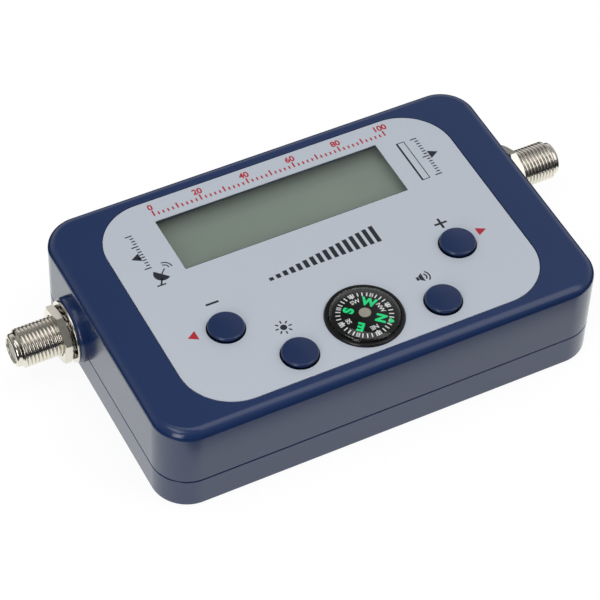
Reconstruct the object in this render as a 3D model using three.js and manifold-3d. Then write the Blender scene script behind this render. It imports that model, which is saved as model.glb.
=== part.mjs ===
// A hand-held satellite signal meter: a flat plastic case with a display, four keys and a small
// liquid compass on its face, and a threaded coaxial port at each end.
// Millimetres. The origin is the middle of the case's flat base, +Z is up, +Y is the display side
// and +X points from the port that goes to the dish towards the port that goes to the receiver.

import * as THREE from 'three';
import { mergeVertices } from 'three/addons/utils/BufferGeometryUtils.js';
import Module from 'manifold-3d';

const wasm = await Module();
wasm.setup();

// General clearances
const seatGap = 0.05;
const slideGap = 0.3;
const cutOverrun = 1;

// Case shells
const caseLength = 117.5;
const caseWidth = 75.3;
const caseHeight = 26.5;
const caseCornerRadius = 9.2;
const topEdgeRadius = 2.5;
const baseEdgeRadius = 0.6;
const sideWall = 2.2;
const topWall = 2.4;
const floorWall = 2.2;
const partingHeight = 8.7;
const partingBevel = 0.2;
const lipHeight = 1.4;
const lipThickness = 0.9;
const lipGap = 0.15;
const lipRoot = 1.5;

// Face label
const labelSideMargin = 11.35;
const labelFrontMargin = 4.15;
const labelCornerRadius = 13.3;
const labelRecess = 0.5;
const labelThickness = 0.35;
const labelGap = 0.2;

// Display, from the window down to the boards
const windowLeftMargin = 26.9;
const windowRightMargin = 29.55;
const windowBackMargin = 6.8;
const windowFrontMargin = 42.85;
const windowPlateMargin = 1.8;
const windowPlateThickness = 0.8;
const windowShelfShare = 0.5;
const bezelReveal = 0.4;
const bezelSheet = 0.4;
const lcdOverlap = 1.6;
const lcdThickness = 2.2;
const backlightThickness = 4.35;
const displayBoardGap = 1.65;
const displayBoardSide = 3.1;
const headerHeight = 2.5;
const headerWidth = 2.5;
const headerPitch = 2.54;
const headerPins = 16;
const headerInset = 1.4;

// Main board and what is soldered to it
const boardThickness = 1.6;
const boardEndGap = 8;
const boardSideGap = 2.5;
const notchGap = 0.6;
const processorSide = 12;
const processorHeight = 1.5;
const shieldLength = 26;
const shieldWidth = 20;
const shieldHeightShare = 0.54;
const shieldSheet = 0.5;
const regulatorLength = 6.6;
const regulatorWidth = 6.1;
const regulatorHeight = 2.3;
const capacitorRadius = 3.15;
const capacitorHeightShare = 0.63;
const capacitorSpacing = 9;
const capacitorInset = 16.75;
const buzzerRadius = 6;
const buzzerHeightShare = 0.8;
const buzzerHoleRadius = 1;
const buzzerHoleDepth = 2;
const crystalLength = 10.8;
const crystalWidth = 4.6;
const crystalHeight = 3.4;
const partSpacing = 3;
const frontPartsShare = 0.25;

// Keys
const upperKeyInset = 16.1;
const upperKeyRise = 21.8;
const lowerKeySpacing = 19.2;
const lowerKeyRise = 7.2;
const keyRadius = 4.5;
const keyProud = 1.2;
const keyCrown = 0.2;
const keyEdgeRadius = 0.45;
const keyFlange = 1.2;
const keyFlangeThickness = 1;
const keyStemRadius = 2.2;
const keyTravel = 0.5;
const switchSide = 6;
const switchHeight = 3.4;
const plungerRadius = 1.75;
const plungerProud = 1.7;
const plungerDepth = 1.6;
const plungerGap = 0.15;

// Compass
const compassRise = 11;
const compassRadius = 9.65;
const compassHoleGap = 0.15;
const compassRimProud = 0.6;
const compassRimWidth = 0.9;
const compassRimRound = 0.3;
const compassDepth = 7.2;
const compassFloor = 1;
const compassWall = 1.5;
const domeRise = 1.3;
const domeThickness = 0.7;
const domeSkirt = 1.6;
const domeGap = 0.1;
const cardRadius = 7.6;
const cardThickness = 0.4;
const cardDrop = 0.3;
const cardHoleRadius = 0.7;
const cardCapRadius = 1.4;
const cardCapHeight = 0.9;
const pivotRadius = 0.45;
const pivotFootRadius = 1.6;
const pivotFootHeight = 1;
const wellWall = 1.2;
const wellFloor = 1;

// Coaxial ports
const portOffset = 14.2;
const bossRadius = 8.4;
const leftBossLength = 2.25;
const rightBossLength = 1.2;
const bossEdge = 0.4;
const threadRadius = 5;
const threadDepth = 0.5;
const threadPitch = 0.95;
const threadTurns = 10;
const noseInset = 0.75;
const noseLength = 1.95;
const noseEdge = 0.45;
const portHoleGap = 0.2;
const flangeRadius = 6.5;
const flangeThickness = 1.5;
const tailRadius = 4.5;
const tailLength = 4.6;
const insulatorRadius = 3;
const insulatorGap = 0.05;
const insulatorRecess = 0.5;
const contactRadius = 0.45;
const contactRecess = 0.9;
const contactOverlap = 2;
const washerRadius = 7.9;
const washerThickness = 0.55;
const washerHoleGap = 0.15;
const toothRadius = 6.9;
const toothDepth = 1;
const toothCount = 16;
const toothThickness = 0.65;
const toothGapShare = 0.42;
const nutFlats = 12.7;
const nutThickness = 2.1;
const nutChamfer = 0.35;
const leftNutTurn = THREE.MathUtils.degToRad(-10);
const rightNutTurn = THREE.MathUtils.degToRad(4);

// Screws and the posts that take them
const postInset = 8.15;
const postRadius = 3.3;
const pilotGap = 0.1;
const caseScrewRadius = 1.3;
const caseScrewReach = 6.5;
const caseScrewHeadRadius = 2.5;
const caseScrewHeadHeight = 1.6;
const headPocketGap = 0.3;
const headPocketDepth = 3;
const sleeveHoleGap = 0.2;
const sleeveTop = 10;
const standoffRadius = 2.4;
const standoffInset = 4.5;
const standoffBackInset = 7;
const standoffFrontInset = 13;
const boardScrewRadius = 1.1;
const boardScrewReach = 5;
const boardScrewHeadRadius = 2.1;
const boardScrewHeadHeight = 1.4;
const driveWidthShare = 0.28;
const driveLengthShare = 1.2;
const driveDepthShare = 0.55;

// How finely curves are cut into facets
const cornerSteps = 6;
const edgeSteps = 4;
const smallEdgeSteps = 2;
const keyFacets = 24;
const compassFacets = 32;
const portFacets = 24;
const postFacets = 12;
const screwFacets = 12;

// Heights and places that follow from the sizes above
const ceiling = caseHeight - topWall;
const labelLength = caseLength - 2 * labelSideMargin;
const labelWidth = caseWidth - 2 * labelFrontMargin;
const labelBottom = caseHeight - labelRecess + seatGap;
const labelTop = labelBottom + labelThickness;
const windowLength = caseLength - windowLeftMargin - windowRightMargin;
const windowWidth = labelWidth - windowBackMargin - windowFrontMargin;
const windowX = (windowLeftMargin - windowRightMargin) / 2;
const windowY = (windowFrontMargin - windowBackMargin) / 2;
const windowPlateTop = caseHeight - labelRecess;
const windowPlateBottom = windowPlateTop - windowPlateThickness;
const caseOpeningMargin = windowPlateMargin * windowShelfShare;
const bezelTop = ceiling - seatGap;
const bezelOpeningLength = windowLength + 2 * (caseOpeningMargin + bezelReveal);
const bezelOpeningWidth = windowWidth + 2 * (caseOpeningMargin + bezelReveal);
const lcdLength = bezelOpeningLength + 2 * lcdOverlap;
const lcdWidth = bezelOpeningWidth + 2 * lcdOverlap;
const lcdTop = bezelTop - bezelSheet - seatGap;
const lcdBottom = lcdTop - lcdThickness;
const backlightTop = lcdBottom - seatGap;
const backlightBottom = backlightTop - backlightThickness;
const displayBoardTop = backlightBottom - seatGap;
const displayBoardBottom = displayBoardTop - boardThickness;
const bezelLength = lcdLength + 2 * (bezelSheet + seatGap);
const bezelWidth = lcdWidth + 2 * (bezelSheet + seatGap);
const boardTop = displayBoardBottom - headerHeight - 2 * seatGap;
const boardBottom = boardTop - boardThickness;
const boardLength = caseLength - 2 * (sideWall + boardEndGap);
const boardWidth = caseWidth - 2 * (sideWall + boardSideGap);
const roomUnderBoard = boardBottom - floorWall;
const portHeight = boardTop + seatGap + contactRadius;
const wallInnerX = caseLength / 2 - sideWall;
const postX = caseLength / 2 - postInset;
const postY = caseWidth / 2 - postInset;
const standoffX = boardLength / 2 - standoffInset;
const displayBoardLength = 2 * (standoffX - standoffRadius - displayBoardGap);
const displayBoardWidth = bezelWidth + 2 * displayBoardSide;
const headerY = windowY + displayBoardWidth / 2 - headerInset - headerWidth / 2;
const processorY = headerY - headerWidth / 2 - partSpacing - processorSide / 2;
const standoffPlaces = [
  [-standoffX, standoffFrontInset - boardWidth / 2],
  [standoffX, standoffFrontInset - boardWidth / 2],
  [standoffX, boardWidth / 2 - standoffBackInset],
  [-standoffX, boardWidth / 2 - standoffBackInset],
];
const postPlaces = [[-postX, -postY], [postX, -postY], [postX, postY], [-postX, postY]];
const upperKeyX = labelLength / 2 - upperKeyInset;
const upperKeyY = upperKeyRise - labelWidth / 2;
const lowerKeyY = lowerKeyRise - labelWidth / 2;
const keyPlaces = {
  step_down: [-upperKeyX, upperKeyY],
  step_up: [upperKeyX, upperKeyY],
  light: [-lowerKeySpacing, lowerKeyY],
  sound: [lowerKeySpacing, lowerKeyY],
};
const keyHoleRadius = keyRadius + slideGap;
const compassY = compassRise - labelWidth / 2;
const compassHoleRadius = compassRadius + compassHoleGap;
const compassRimTop = labelTop + compassRimProud;
const compassBottom = compassRimTop - compassDepth;
const wellFloorTop = compassBottom - seatGap;
const cardTop = caseHeight - cardDrop;
const gripLength = leftBossLength + sideWall;
const portHoleRadius = threadRadius + portHoleGap;

// Finishes
const finishes = {
  case_plastic: { color: 0x26355f, roughness: 0.34, metalness: 0 },
  key_plastic: { color: 0x22315c, roughness: 0.3, metalness: 0 },
  label_film: { color: 0xb6bec8, roughness: 0.5, metalness: 0 },
  clear_plastic: { color: 0xe8eef0, roughness: 0.05, metalness: 0, transparent: true, opacity: 0.35 },
  display_glass: { color: 0x7b8578, roughness: 0.2, metalness: 0 },
  light_guide: { color: 0x8d978a, roughness: 0.6, metalness: 0 },
  black_steel: { color: 0x1c1d1f, roughness: 0.45, metalness: 0.6 },
  nickel: { color: 0xc9c6bd, roughness: 0.22, metalness: 1 },
  tinned_steel: { color: 0xb9bbbc, roughness: 0.35, metalness: 1 },
  zinc_steel: { color: 0x9fa3a6, roughness: 0.35, metalness: 1 },
  brass: { color: 0xc9a256, roughness: 0.3, metalness: 1 },
  white_insulator: { color: 0xe9e6da, roughness: 0.5, metalness: 0 },
  circuit_board: { color: 0x1f5a36, roughness: 0.4, metalness: 0 },
  black_component: { color: 0x191a1c, roughness: 0.5, metalness: 0 },
  capacitor_can: { color: 0xb4b7ba, roughness: 0.35, metalness: 1 },
  compass_black: { color: 0x121314, roughness: 0.25, metalness: 0 },
  compass_card: { color: 0x1b1d1c, roughness: 0.5, metalness: 0 },
  cap_grey: { color: 0xaaa59a, roughness: 0.4, metalness: 0 },
};

// Turns a closed three.js geometry into a solid that can be joined and cut.
function asSolid(geometry) {
  const bare = geometry.clone();
  bare.deleteAttribute('normal');
  bare.deleteAttribute('uv');
  const merged = mergeVertices(bare);
  return new wasm.Manifold(new wasm.Mesh({
    numProp: 3,
    vertProperties: Float32Array.from(merged.attributes.position.array),
    triVerts: Uint32Array.from(merged.index.array),
  }));
}

// Turns a solid back into a geometry.
function asGeometry(solid) {
  const { vertProperties, triVerts } = solid.getMesh();
  const geometry = new THREE.BufferGeometry();
  geometry.setAttribute('position', new THREE.BufferAttribute(vertProperties, 3));
  geometry.setIndex(new THREE.BufferAttribute(triVerts, 1));
  geometry.computeVertexNormals();
  return geometry;
}

function joined(solids) {
  return solids.reduce((whole, solid) => whole.add(solid));
}

function without(solid, cuts) {
  return cuts.reduce((rest, cut) => rest.subtract(cut), solid);
}

// A block between two corners.
function block([x0, y0, z0], [x1, y1, z1]) {
  const geometry = new THREE.BoxGeometry(x1 - x0, y1 - y0, z1 - z0);
  return geometry.translate((x0 + x1) / 2, (y0 + y1) / 2, (z0 + z1) / 2);
}

// A block centred on x and y, from one height to another.
function slab(x, y, length, width, low, high) {
  return block([x - length / 2, y - width / 2, low], [x + length / 2, y + width / 2, high]);
}

// An upright cylinder.
function upright(x, y, radius, low, high, facets) {
  const geometry = new THREE.CylinderGeometry(radius, radius, high - low, facets);
  return geometry.rotateX(Math.PI / 2).translate(x, y, (low + high) / 2);
}

// A cylinder along X at the height and offset of the ports.
function portCylinder(radius, x0, x1) {
  const geometry = new THREE.CylinderGeometry(radius, radius, Math.abs(x1 - x0), portFacets);
  return geometry.rotateZ(Math.PI / 2).translate((x0 + x1) / 2, portOffset, portHeight);
}

// A turned piece about Z. The profile runs upwards along the outside, as [radius, height] pairs.
function turned(profile, facets) {
  const points = profile.map(([radius, height]) => new THREE.Vector2(radius, height));
  return new THREE.LatheGeometry(points, facets).rotateX(Math.PI / 2);
}

// A turned ring: its profile closes on itself.
function turnedRing(profile, facets) {
  return turned([...profile, profile[0]], facets);
}

// Points of a quarter circle from one angle to another, as [radius, height] pairs.
function arc(radius, height, size, from, to, steps) {
  const points = [];
  for (let step = 0; step <= steps; step += 1) {
    const angle = from + ((to - from) * step) / steps;
    points.push([radius + size * Math.cos(angle), height + size * Math.sin(angle)]);
  }
  return points;
}

// The outline of a rectangle with round corners, anticlockwise.
function roundedOutline(length, width, radius) {
  const corners = [[1, 1, 0], [-1, 1, 1], [-1, -1, 2], [1, -1, 3]];
  const points = [];
  for (const [signX, signY, quarter] of corners) {
    for (let step = 0; step <= cornerSteps; step += 1) {
      const angle = ((quarter + step / cornerSteps) * Math.PI) / 2;
      const x = signX * (length / 2 - radius) + radius * Math.cos(angle);
      const y = signY * (width / 2 - radius) + radius * Math.sin(angle);
      points.push(new THREE.Vector2(x, y));
    }
  }
  return points;
}

// A closed solid through rounded rectangles at rising heights, each drawn in by its own inset.
function stacked(length, width, radius, levels) {
  const rings = levels.map(([inset]) => (
    roundedOutline(length - 2 * inset, width - 2 * inset, radius - inset)
  ));
  const count = rings[0].length;
  const positions = [];
  rings.forEach((ring, level) => ring.forEach((point) => positions.push(point.x, point.y, levels[level][1])));
  positions.push(0, 0, levels[0][1]);
  positions.push(0, 0, levels[levels.length - 1][1]);
  const lowCentre = rings.length * count;
  const highStart = lowCentre - count;
  const faces = [];
  for (let index = 0; index < count; index += 1) {
    const next = (index + 1) % count;
    faces.push(lowCentre, next, index);
    faces.push(lowCentre + 1, highStart + index, highStart + next);
    for (let start = 0; start < highStart; start += count) {
      faces.push(start + index, start + next, start + count + next);
      faces.push(start + index, start + count + next, start + count + index);
    }
  }
  const geometry = new THREE.BufferGeometry();
  geometry.setAttribute('position', new THREE.Float32BufferAttribute(positions, 3));
  geometry.setIndex(faces);
  return geometry;
}

// Levels of a quarter-round edge at the top of a stacked solid.
function roundedTop(high, radius, steps) {
  const curve = arc(0, high - radius, radius, 0, Math.PI / 2, steps);
  return curve.map(([reach, height]) => [radius - reach, height]);
}

function roundedBase(low, radius, steps) {
  return roundedTop(0, radius, steps).map(([inset, height]) => [inset, low - height]).reverse();
}

function named(name, geometry, finish) {
  const mesh = new THREE.Mesh(geometry, new THREE.MeshStandardMaterial(finishes[finish]));
  mesh.name = name;
  return mesh;
}

// The outside of both shells together, with the round bosses of the ports.
function caseOutside() {
  const shell = stacked(caseLength, caseWidth, caseCornerRadius, [
    ...roundedBase(0, baseEdgeRadius, smallEdgeSteps),
    ...roundedTop(caseHeight, topEdgeRadius, edgeSteps),
  ]);
  return joined([asSolid(shell), portBoss(-1, leftBossLength), portBoss(1, rightBossLength)]);
}

// A round boss on the end wall, with a small bevel at its face. What the boss lacks outside is
// added to the wall inside, so that both ports clamp the same thickness.
function portBoss(side, length) {
  const inner = wallInnerX - (leftBossLength - length);
  const face = caseLength / 2 + length;
  const profile = [
    [0, inner],
    [bossRadius, inner],
    [bossRadius, face - bossEdge],
    [bossRadius - bossEdge, face],
    [0, face],
  ];
  const boss = turned(profile, portFacets).rotateY((side * Math.PI) / 2);
  return asSolid(boss.translate(0, portOffset, portHeight));
}

function caseHollow() {
  const corner = caseCornerRadius - sideWall;
  const hollow = stacked(caseLength - 2 * sideWall, caseWidth - 2 * sideWall, corner, [
    [0, floorWall],
    [0, ceiling],
  ]);
  return without(asSolid(hollow), [innerPad(-1, leftBossLength), innerPad(1, rightBossLength)]);
}

// The part of the port's wall that stands into the hollow.
function innerPad(side, length) {
  const inner = side * (wallInnerX - (leftBossLength - length));
  return asSolid(portCylinder(bossRadius, inner, side * (wallInnerX + cutOverrun)));
}

// The V-shaped groove that shows where the two shells meet.
function partingGroove() {
  const outer = cutOverrun;
  const band = stacked(caseLength, caseWidth, caseCornerRadius, [
    [-outer, partingHeight - partingBevel - outer],
    [-outer, partingHeight + partingBevel + outer],
  ]);
  const core = stacked(caseLength, caseWidth, caseCornerRadius, [
    [-outer, partingHeight - partingBevel - outer],
    [partingBevel, partingHeight],
    [-outer, partingHeight + partingBevel + outer],
  ]);
  return asSolid(band).subtract(asSolid(core));
}

// One half of the shells, above or below the parting plane.
function caseHalf(low, high) {
  const reach = caseLength / 2 + leftBossLength + cutOverrun;
  const half = block([-reach, -caseWidth, low], [reach, caseWidth, high]);
  const holes = portCylinder(portHoleRadius, -reach, reach);
  return without(caseOutside().intersect(asSolid(half)), [caseHollow(), asSolid(holes), partingGroove()]);
}

function postHole(x, y, radius, low, high) {
  return asSolid(upright(x, y, radius, low, high, postFacets));
}

function topCase() {
  const shell = caseHalf(partingHeight + seatGap, caseHeight + cutOverrun);
  const embedded = ceiling + seatGap;
  const posts = postPlaces.map(([x, y]) => (
    asSolid(upright(x, y, postRadius, sleeveTop + seatGap, embedded, postFacets))
  ));
  const standoffs = standoffPlaces.map(([x, y]) => (
    asSolid(upright(x, y, standoffRadius, boardTop + seatGap, embedded, postFacets))
  ));
  const wellRadius = compassHoleRadius + wellWall;
  const well = upright(0, compassY, wellRadius, wellFloorTop - wellFloor, embedded, compassFacets);
  return asGeometry(without(joined([shell, ...posts, ...standoffs, asSolid(well)]), topCaseCuts()));
}

function topCaseCuts() {
  const above = caseHeight + cutOverrun;
  const recess = stacked(labelLength, labelWidth, labelCornerRadius, [
    [-labelGap, caseHeight - labelRecess],
    [-labelGap, above],
  ]);
  const openingLength = windowLength + 2 * caseOpeningMargin;
  const openingWidth = windowWidth + 2 * caseOpeningMargin;
  const opening = slab(windowX, windowY, openingLength, openingWidth, ceiling - cutOverrun, above);
  const pocketLength = windowLength + 2 * (windowPlateMargin + seatGap);
  const pocketWidth = windowWidth + 2 * (windowPlateMargin + seatGap);
  const pocket = slab(windowX, windowY, pocketLength, pocketWidth, windowPlateBottom - seatGap, above);
  const keyHoles = Object.values(keyPlaces).map(([x, y]) => (
    asSolid(upright(x, y, keyHoleRadius, ceiling - cutOverrun, above, keyFacets))
  ));
  const pilots = postPlaces.map(([x, y]) => {
    const tip = sleeveTop + caseScrewReach + seatGap;
    return postHole(x, y, caseScrewRadius + pilotGap, sleeveTop - cutOverrun, tip);
  });
  const boardPilots = standoffPlaces.map(([x, y]) => {
    const tip = boardTop + boardScrewReach + seatGap;
    return postHole(x, y, boardScrewRadius + pilotGap, boardTop - cutOverrun, tip);
  });
  const compassHole = upright(0, compassY, compassHoleRadius, wellFloorTop, above, compassFacets);
  const cuts = [recess, opening, pocket, compassHole].map(asSolid);
  return [...cuts, ...keyHoles, ...pilots, ...boardPilots];
}

// The tongue that stands up from the lower shell inside the upper one.
function tongue() {
  const ring = (inset, low, high) => asSolid(stacked(caseLength, caseWidth, caseCornerRadius, [
    [inset, low],
    [inset, high],
  ]));
  const outer = sideWall + lipGap;
  const inner = outer + lipThickness;
  const high = partingHeight + lipHeight;
  const low = partingHeight - lipRoot;
  const wall = ring(outer, low, high).subtract(ring(inner, low - cutOverrun, high + cutOverrun));
  const foot = ring(sideWall - seatGap, low, partingHeight - seatGap)
    .subtract(ring(inner, low - cutOverrun, high + cutOverrun));
  const clear = bossRadius + lipGap;
  const gap = asSolid(portCylinder(clear, -wallInnerX - sideWall, wallInnerX + sideWall));
  return wall.add(foot).subtract(gap);
}

function bottomCase() {
  const shell = caseHalf(-cutOverrun, partingHeight);
  const sleeves = postPlaces.map(([x, y]) => (
    asSolid(upright(x, y, postRadius, floorWall - seatGap, sleeveTop, postFacets))
  ));
  const holes = postPlaces.map(([x, y]) => (
    postHole(x, y, caseScrewRadius + sleeveHoleGap, -cutOverrun, sleeveTop + cutOverrun)
  ));
  const pockets = postPlaces.map(([x, y]) => (
    postHole(x, y, caseScrewHeadRadius + headPocketGap, -cutOverrun, headPocketDepth)
  ));
  return asGeometry(without(joined([shell, tongue(), ...sleeves]), [...holes, ...pockets]));
}

function circlePath(x, y, radius, facets) {
  const points = [];
  for (let step = 0; step < facets; step += 1) {
    const angle = (2 * Math.PI * step) / facets;
    points.push(new THREE.Vector2(x + radius * Math.cos(angle), y + radius * Math.sin(angle)));
  }
  return new THREE.Path(points);
}

// The printed film in the recess of the face, with its window and holes.
function faceLabel() {
  const shape = new THREE.Shape(roundedOutline(labelLength, labelWidth, labelCornerRadius));
  const windowCorners = [[-1, -1], [1, -1], [1, 1], [-1, 1]].map(([signX, signY]) => (
    new THREE.Vector2(windowX + (signX * windowLength) / 2, windowY + (signY * windowWidth) / 2)
  ));
  shape.holes.push(new THREE.Path(windowCorners));
  Object.values(keyPlaces).forEach(([x, y]) => shape.holes.push(circlePath(x, y, keyHoleRadius, keyFacets)));
  shape.holes.push(circlePath(0, compassY, compassHoleRadius, compassFacets));
  const film = new THREE.ExtrudeGeometry(shape, { depth: labelThickness, bevelEnabled: false });
  return film.translate(0, 0, labelBottom);
}

// The clear window lies on a shelf in the case, under the label, and its middle stands up flush
// with the label.
function displayWindow() {
  const plateLength = windowLength + 2 * windowPlateMargin;
  const plateWidth = windowWidth + 2 * windowPlateMargin;
  const plate = slab(windowX, windowY, plateLength, plateWidth, windowPlateBottom, windowPlateTop);
  const faceLength = windowLength - 2 * seatGap;
  const faceWidth = windowWidth - 2 * seatGap;
  const face = slab(windowX, windowY, faceLength, faceWidth, windowPlateBottom, labelTop);
  return asGeometry(joined([asSolid(plate), asSolid(face)]));
}

// A pressed steel frame that holds the display glass down on its board.
function displayBezel() {
  const outer = slab(windowX, windowY, bezelLength, bezelWidth, displayBoardTop + seatGap, bezelTop);
  const innerLength = bezelLength - 2 * bezelSheet;
  const innerWidth = bezelWidth - 2 * bezelSheet;
  const low = displayBoardTop - cutOverrun;
  const high = bezelTop + cutOverrun;
  const inner = slab(windowX, windowY, innerLength, innerWidth, low, bezelTop - bezelSheet);
  const opening = slab(windowX, windowY, bezelOpeningLength, bezelOpeningWidth, low, high);
  return asGeometry(without(asSolid(outer), [asSolid(inner), asSolid(opening)]));
}

function displayHeader() {
  const length = headerPins * headerPitch;
  return slab(windowX, headerY, length, headerWidth, boardTop + seatGap, displayBoardBottom - seatGap);
}

function display() {
  const group = new THREE.Group();
  const glass = slab(windowX, windowY, lcdLength, lcdWidth, lcdBottom, lcdTop);
  const guide = slab(windowX, windowY, lcdLength, lcdWidth, backlightBottom, backlightTop);
  const boardSize = [displayBoardLength, displayBoardWidth];
  const board = slab(0, windowY, ...boardSize, displayBoardBottom, displayBoardTop);
  group.add(
    named('display_window', displayWindow(), 'clear_plastic'),
    named('display_bezel', displayBezel(), 'black_steel'),
    named('display_glass', glass, 'display_glass'),
    named('display_backlight', guide, 'light_guide'),
    named('display_board', board, 'circuit_board'),
    named('display_header', displayHeader(), 'black_component'),
  );
  return group;
}

// The main board, notched round the corner posts and drilled for its four screws.
function mainBoard() {
  const board = asSolid(slab(0, 0, boardLength, boardWidth, boardBottom, boardTop));
  const notch = postRadius + notchGap;
  const notches = postPlaces.map(([x, y]) => {
    const innerX = Math.sign(x) * (Math.abs(x) - notch);
    const innerY = Math.sign(y) * (Math.abs(y) - notch);
    const low = [Math.min(innerX, Math.sign(x) * boardLength), Math.min(innerY, Math.sign(y) * boardWidth)];
    const high = [Math.max(innerX, Math.sign(x) * boardLength), Math.max(innerY, Math.sign(y) * boardWidth)];
    return asSolid(block([...low, boardBottom - cutOverrun], [...high, boardTop + cutOverrun]));
  });
  const holes = standoffPlaces.map(([x, y]) => (
    postHole(x, y, boardScrewRadius + pilotGap, boardBottom - cutOverrun, boardTop + cutOverrun)
  ));
  return asGeometry(without(board, [...notches, ...holes]));
}

// The folded tin box under the tuner, open towards the board.
function tunerShield(x, y) {
  const high = boardBottom - seatGap;
  const low = high - roomUnderBoard * shieldHeightShare;
  const outside = slab(x, y, shieldLength, shieldWidth, low, high);
  const innerLength = shieldLength - 2 * shieldSheet;
  const innerWidth = shieldWidth - 2 * shieldSheet;
  const inside = slab(x, y, innerLength, innerWidth, low + shieldSheet, high + cutOverrun);
  return asGeometry(asSolid(outside).subtract(asSolid(inside)));
}

// The buzzer hangs under the board, with its sound hole in its lower face.
function buzzer(x, y) {
  const high = boardBottom - seatGap;
  const low = high - roomUnderBoard * buzzerHeightShare;
  const can = upright(x, y, buzzerRadius, low, high, keyFacets);
  const hole = upright(x, y, buzzerHoleRadius, low - cutOverrun, low + buzzerHoleDepth, postFacets);
  return asGeometry(asSolid(can).subtract(asSolid(hole)));
}

function capacitor(x, y) {
  const high = boardBottom - seatGap;
  return upright(x, y, capacitorRadius, high - roomUnderBoard * capacitorHeightShare, high, postFacets);
}

function electronics() {
  const group = new THREE.Group();
  const on = boardTop + seatGap;
  const under = boardBottom - seatGap;
  const frontY = -boardWidth * frontPartsShare;
  const crystalX = -(buzzerRadius + partSpacing + crystalLength / 2);
  const regulatorX = buzzerRadius + partSpacing + regulatorLength / 2;
  const shieldX = -(standoffX - standoffRadius - partSpacing - shieldLength / 2);
  const capacitorX = boardLength / 2 - capacitorInset;
  const processor = slab(windowX, processorY, processorSide, processorSide, on, on + processorHeight);
  const crystal = slab(crystalX, frontY, crystalLength, crystalWidth, under - crystalHeight, under);
  const regulatorLow = under - regulatorHeight;
  const regulator = slab(regulatorX, frontY, regulatorLength, regulatorWidth, regulatorLow, under);
  group.add(
    named('main_board', mainBoard(), 'circuit_board'),
    named('processor_chip', processor, 'black_component'),
    named('tuner_shield', tunerShield(shieldX, portOffset), 'tinned_steel'),
    named('voltage_regulator', regulator, 'black_component'),
    named('clock_crystal', crystal, 'tinned_steel'),
    named('sound_buzzer', buzzer(0, frontY), 'black_component'),
    named('capacitor_1', capacitor(capacitorX, portOffset), 'capacitor_can'),
    named('capacitor_2', capacitor(capacitorX, portOffset - capacitorSpacing), 'capacitor_can'),
  );
  return group;
}

// A key: a round head with a soft edge, a flange that stays under the face and a stem.
function keyCap() {
  const top = labelTop + keyProud;
  const flangeTop = ceiling - slideGap;
  const flangeBottom = flangeTop - keyFlangeThickness;
  const stemBottom = boardTop + switchHeight + plungerProud + 2 * seatGap;
  const edge = keyEdgeRadius;
  return turned([
    [0, stemBottom],
    [keyStemRadius, stemBottom],
    [keyStemRadius, flangeBottom],
    [keyRadius + keyFlange, flangeBottom],
    [keyRadius + keyFlange, flangeTop],
    [keyRadius, flangeTop],
    ...arc(keyRadius - edge, top - edge, edge, 0, Math.PI / 2, smallEdgeSteps),
    [(keyRadius - edge) / 2, top + (keyCrown * 3) / 4],
    [0, top + keyCrown],
  ], keyFacets);
}

function switchBody() {
  const low = boardTop + seatGap;
  const body = slab(0, 0, switchSide, switchSide, low, low + switchHeight);
  const top = low + switchHeight;
  const floor = top - plungerDepth - keyTravel - plungerGap;
  const bore = upright(0, 0, plungerRadius + plungerGap, floor, top + cutOverrun, postFacets);
  return asGeometry(asSolid(body).subtract(asSolid(bore)));
}

function switchPlunger() {
  const top = boardTop + seatGap + switchHeight;
  return upright(0, 0, plungerRadius, top - plungerDepth, top + plungerProud, postFacets);
}

function keySet(name, [x, y]) {
  const group = new THREE.Group();
  group.add(
    named(`${name}_key`, keyCap(), 'key_plastic'),
    named(`${name}_plunger`, switchPlunger(), 'black_component'),
    named(`${name}_switch`, switchBody(), 'tinned_steel'),
  );
  group.position.set(x, y, 0);
  return group;
}

// The black cup of the compass, open upwards, with a rounded rim.
function compassCup() {
  const round = compassRimRound;
  const rimInner = compassRadius - compassRimWidth;
  const seat = domeFoot() - seatGap;
  const bore = compassRadius - compassWall;
  return turned([
    [0, compassBottom],
    [compassRadius, compassBottom],
    ...arc(compassRadius - round, compassRimTop - round, round, 0, Math.PI / 2, smallEdgeSteps),
    [rimInner, compassRimTop],
    [rimInner, seat],
    [bore, seat],
    [bore, compassBottom + compassFloor],
    [0, compassBottom + compassFloor],
  ], compassFacets);
}

// Height of the dome's lower edge, on the ledge inside the cup.
function domeFoot() {
  return compassRimTop - domeSkirt;
}

// Points of a shallow bowl-shaped curve from its rim to its crown.
function crownCurve(radius, rimHeight, rise) {
  const sphere = (radius ** 2 + rise ** 2) / (2 * rise);
  const points = [];
  for (let step = 0; step <= edgeSteps; step += 1) {
    const reach = radius * (1 - step / edgeSteps);
    points.push([reach, rimHeight + rise - sphere + Math.sqrt(sphere ** 2 - reach ** 2)]);
  }
  return points;
}

// The clear dome: a crowned disc with a skirt that seats in the cup.
function compassDome() {
  const radius = compassRadius - compassRimWidth - domeGap;
  const inner = radius - domeThickness;
  const underside = crownCurve(inner, compassRimTop - domeThickness, domeRise).reverse();
  return turned([
    ...underside,
    [inner, domeFoot()],
    [radius, domeFoot()],
    ...crownCurve(radius, compassRimTop, domeRise),
  ], compassFacets);
}

function compassCard() {
  const low = cardTop - cardThickness;
  return turnedRing([
    [cardRadius, low],
    [cardRadius, cardTop],
    [cardHoleRadius, cardTop],
    [cardHoleRadius, low],
  ], compassFacets);
}

// The cap on the middle of the card, hollow under its top where the pivot's point runs.
function cardCap() {
  const low = cardTop + seatGap;
  const top = low + cardCapHeight;
  const bore = pivotRadius + plungerGap;
  const roof = pivotTop() + slideGap / 2;
  return turned([
    [0, roof],
    [bore, roof],
    [bore, low],
    [cardCapRadius, low],
    [cardCapRadius, top - seatGap],
    [cardCapRadius - seatGap, top],
    [0, top],
  ], postFacets);
}

function pivotTop() {
  return cardTop + cardCapHeight / 2;
}

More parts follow.
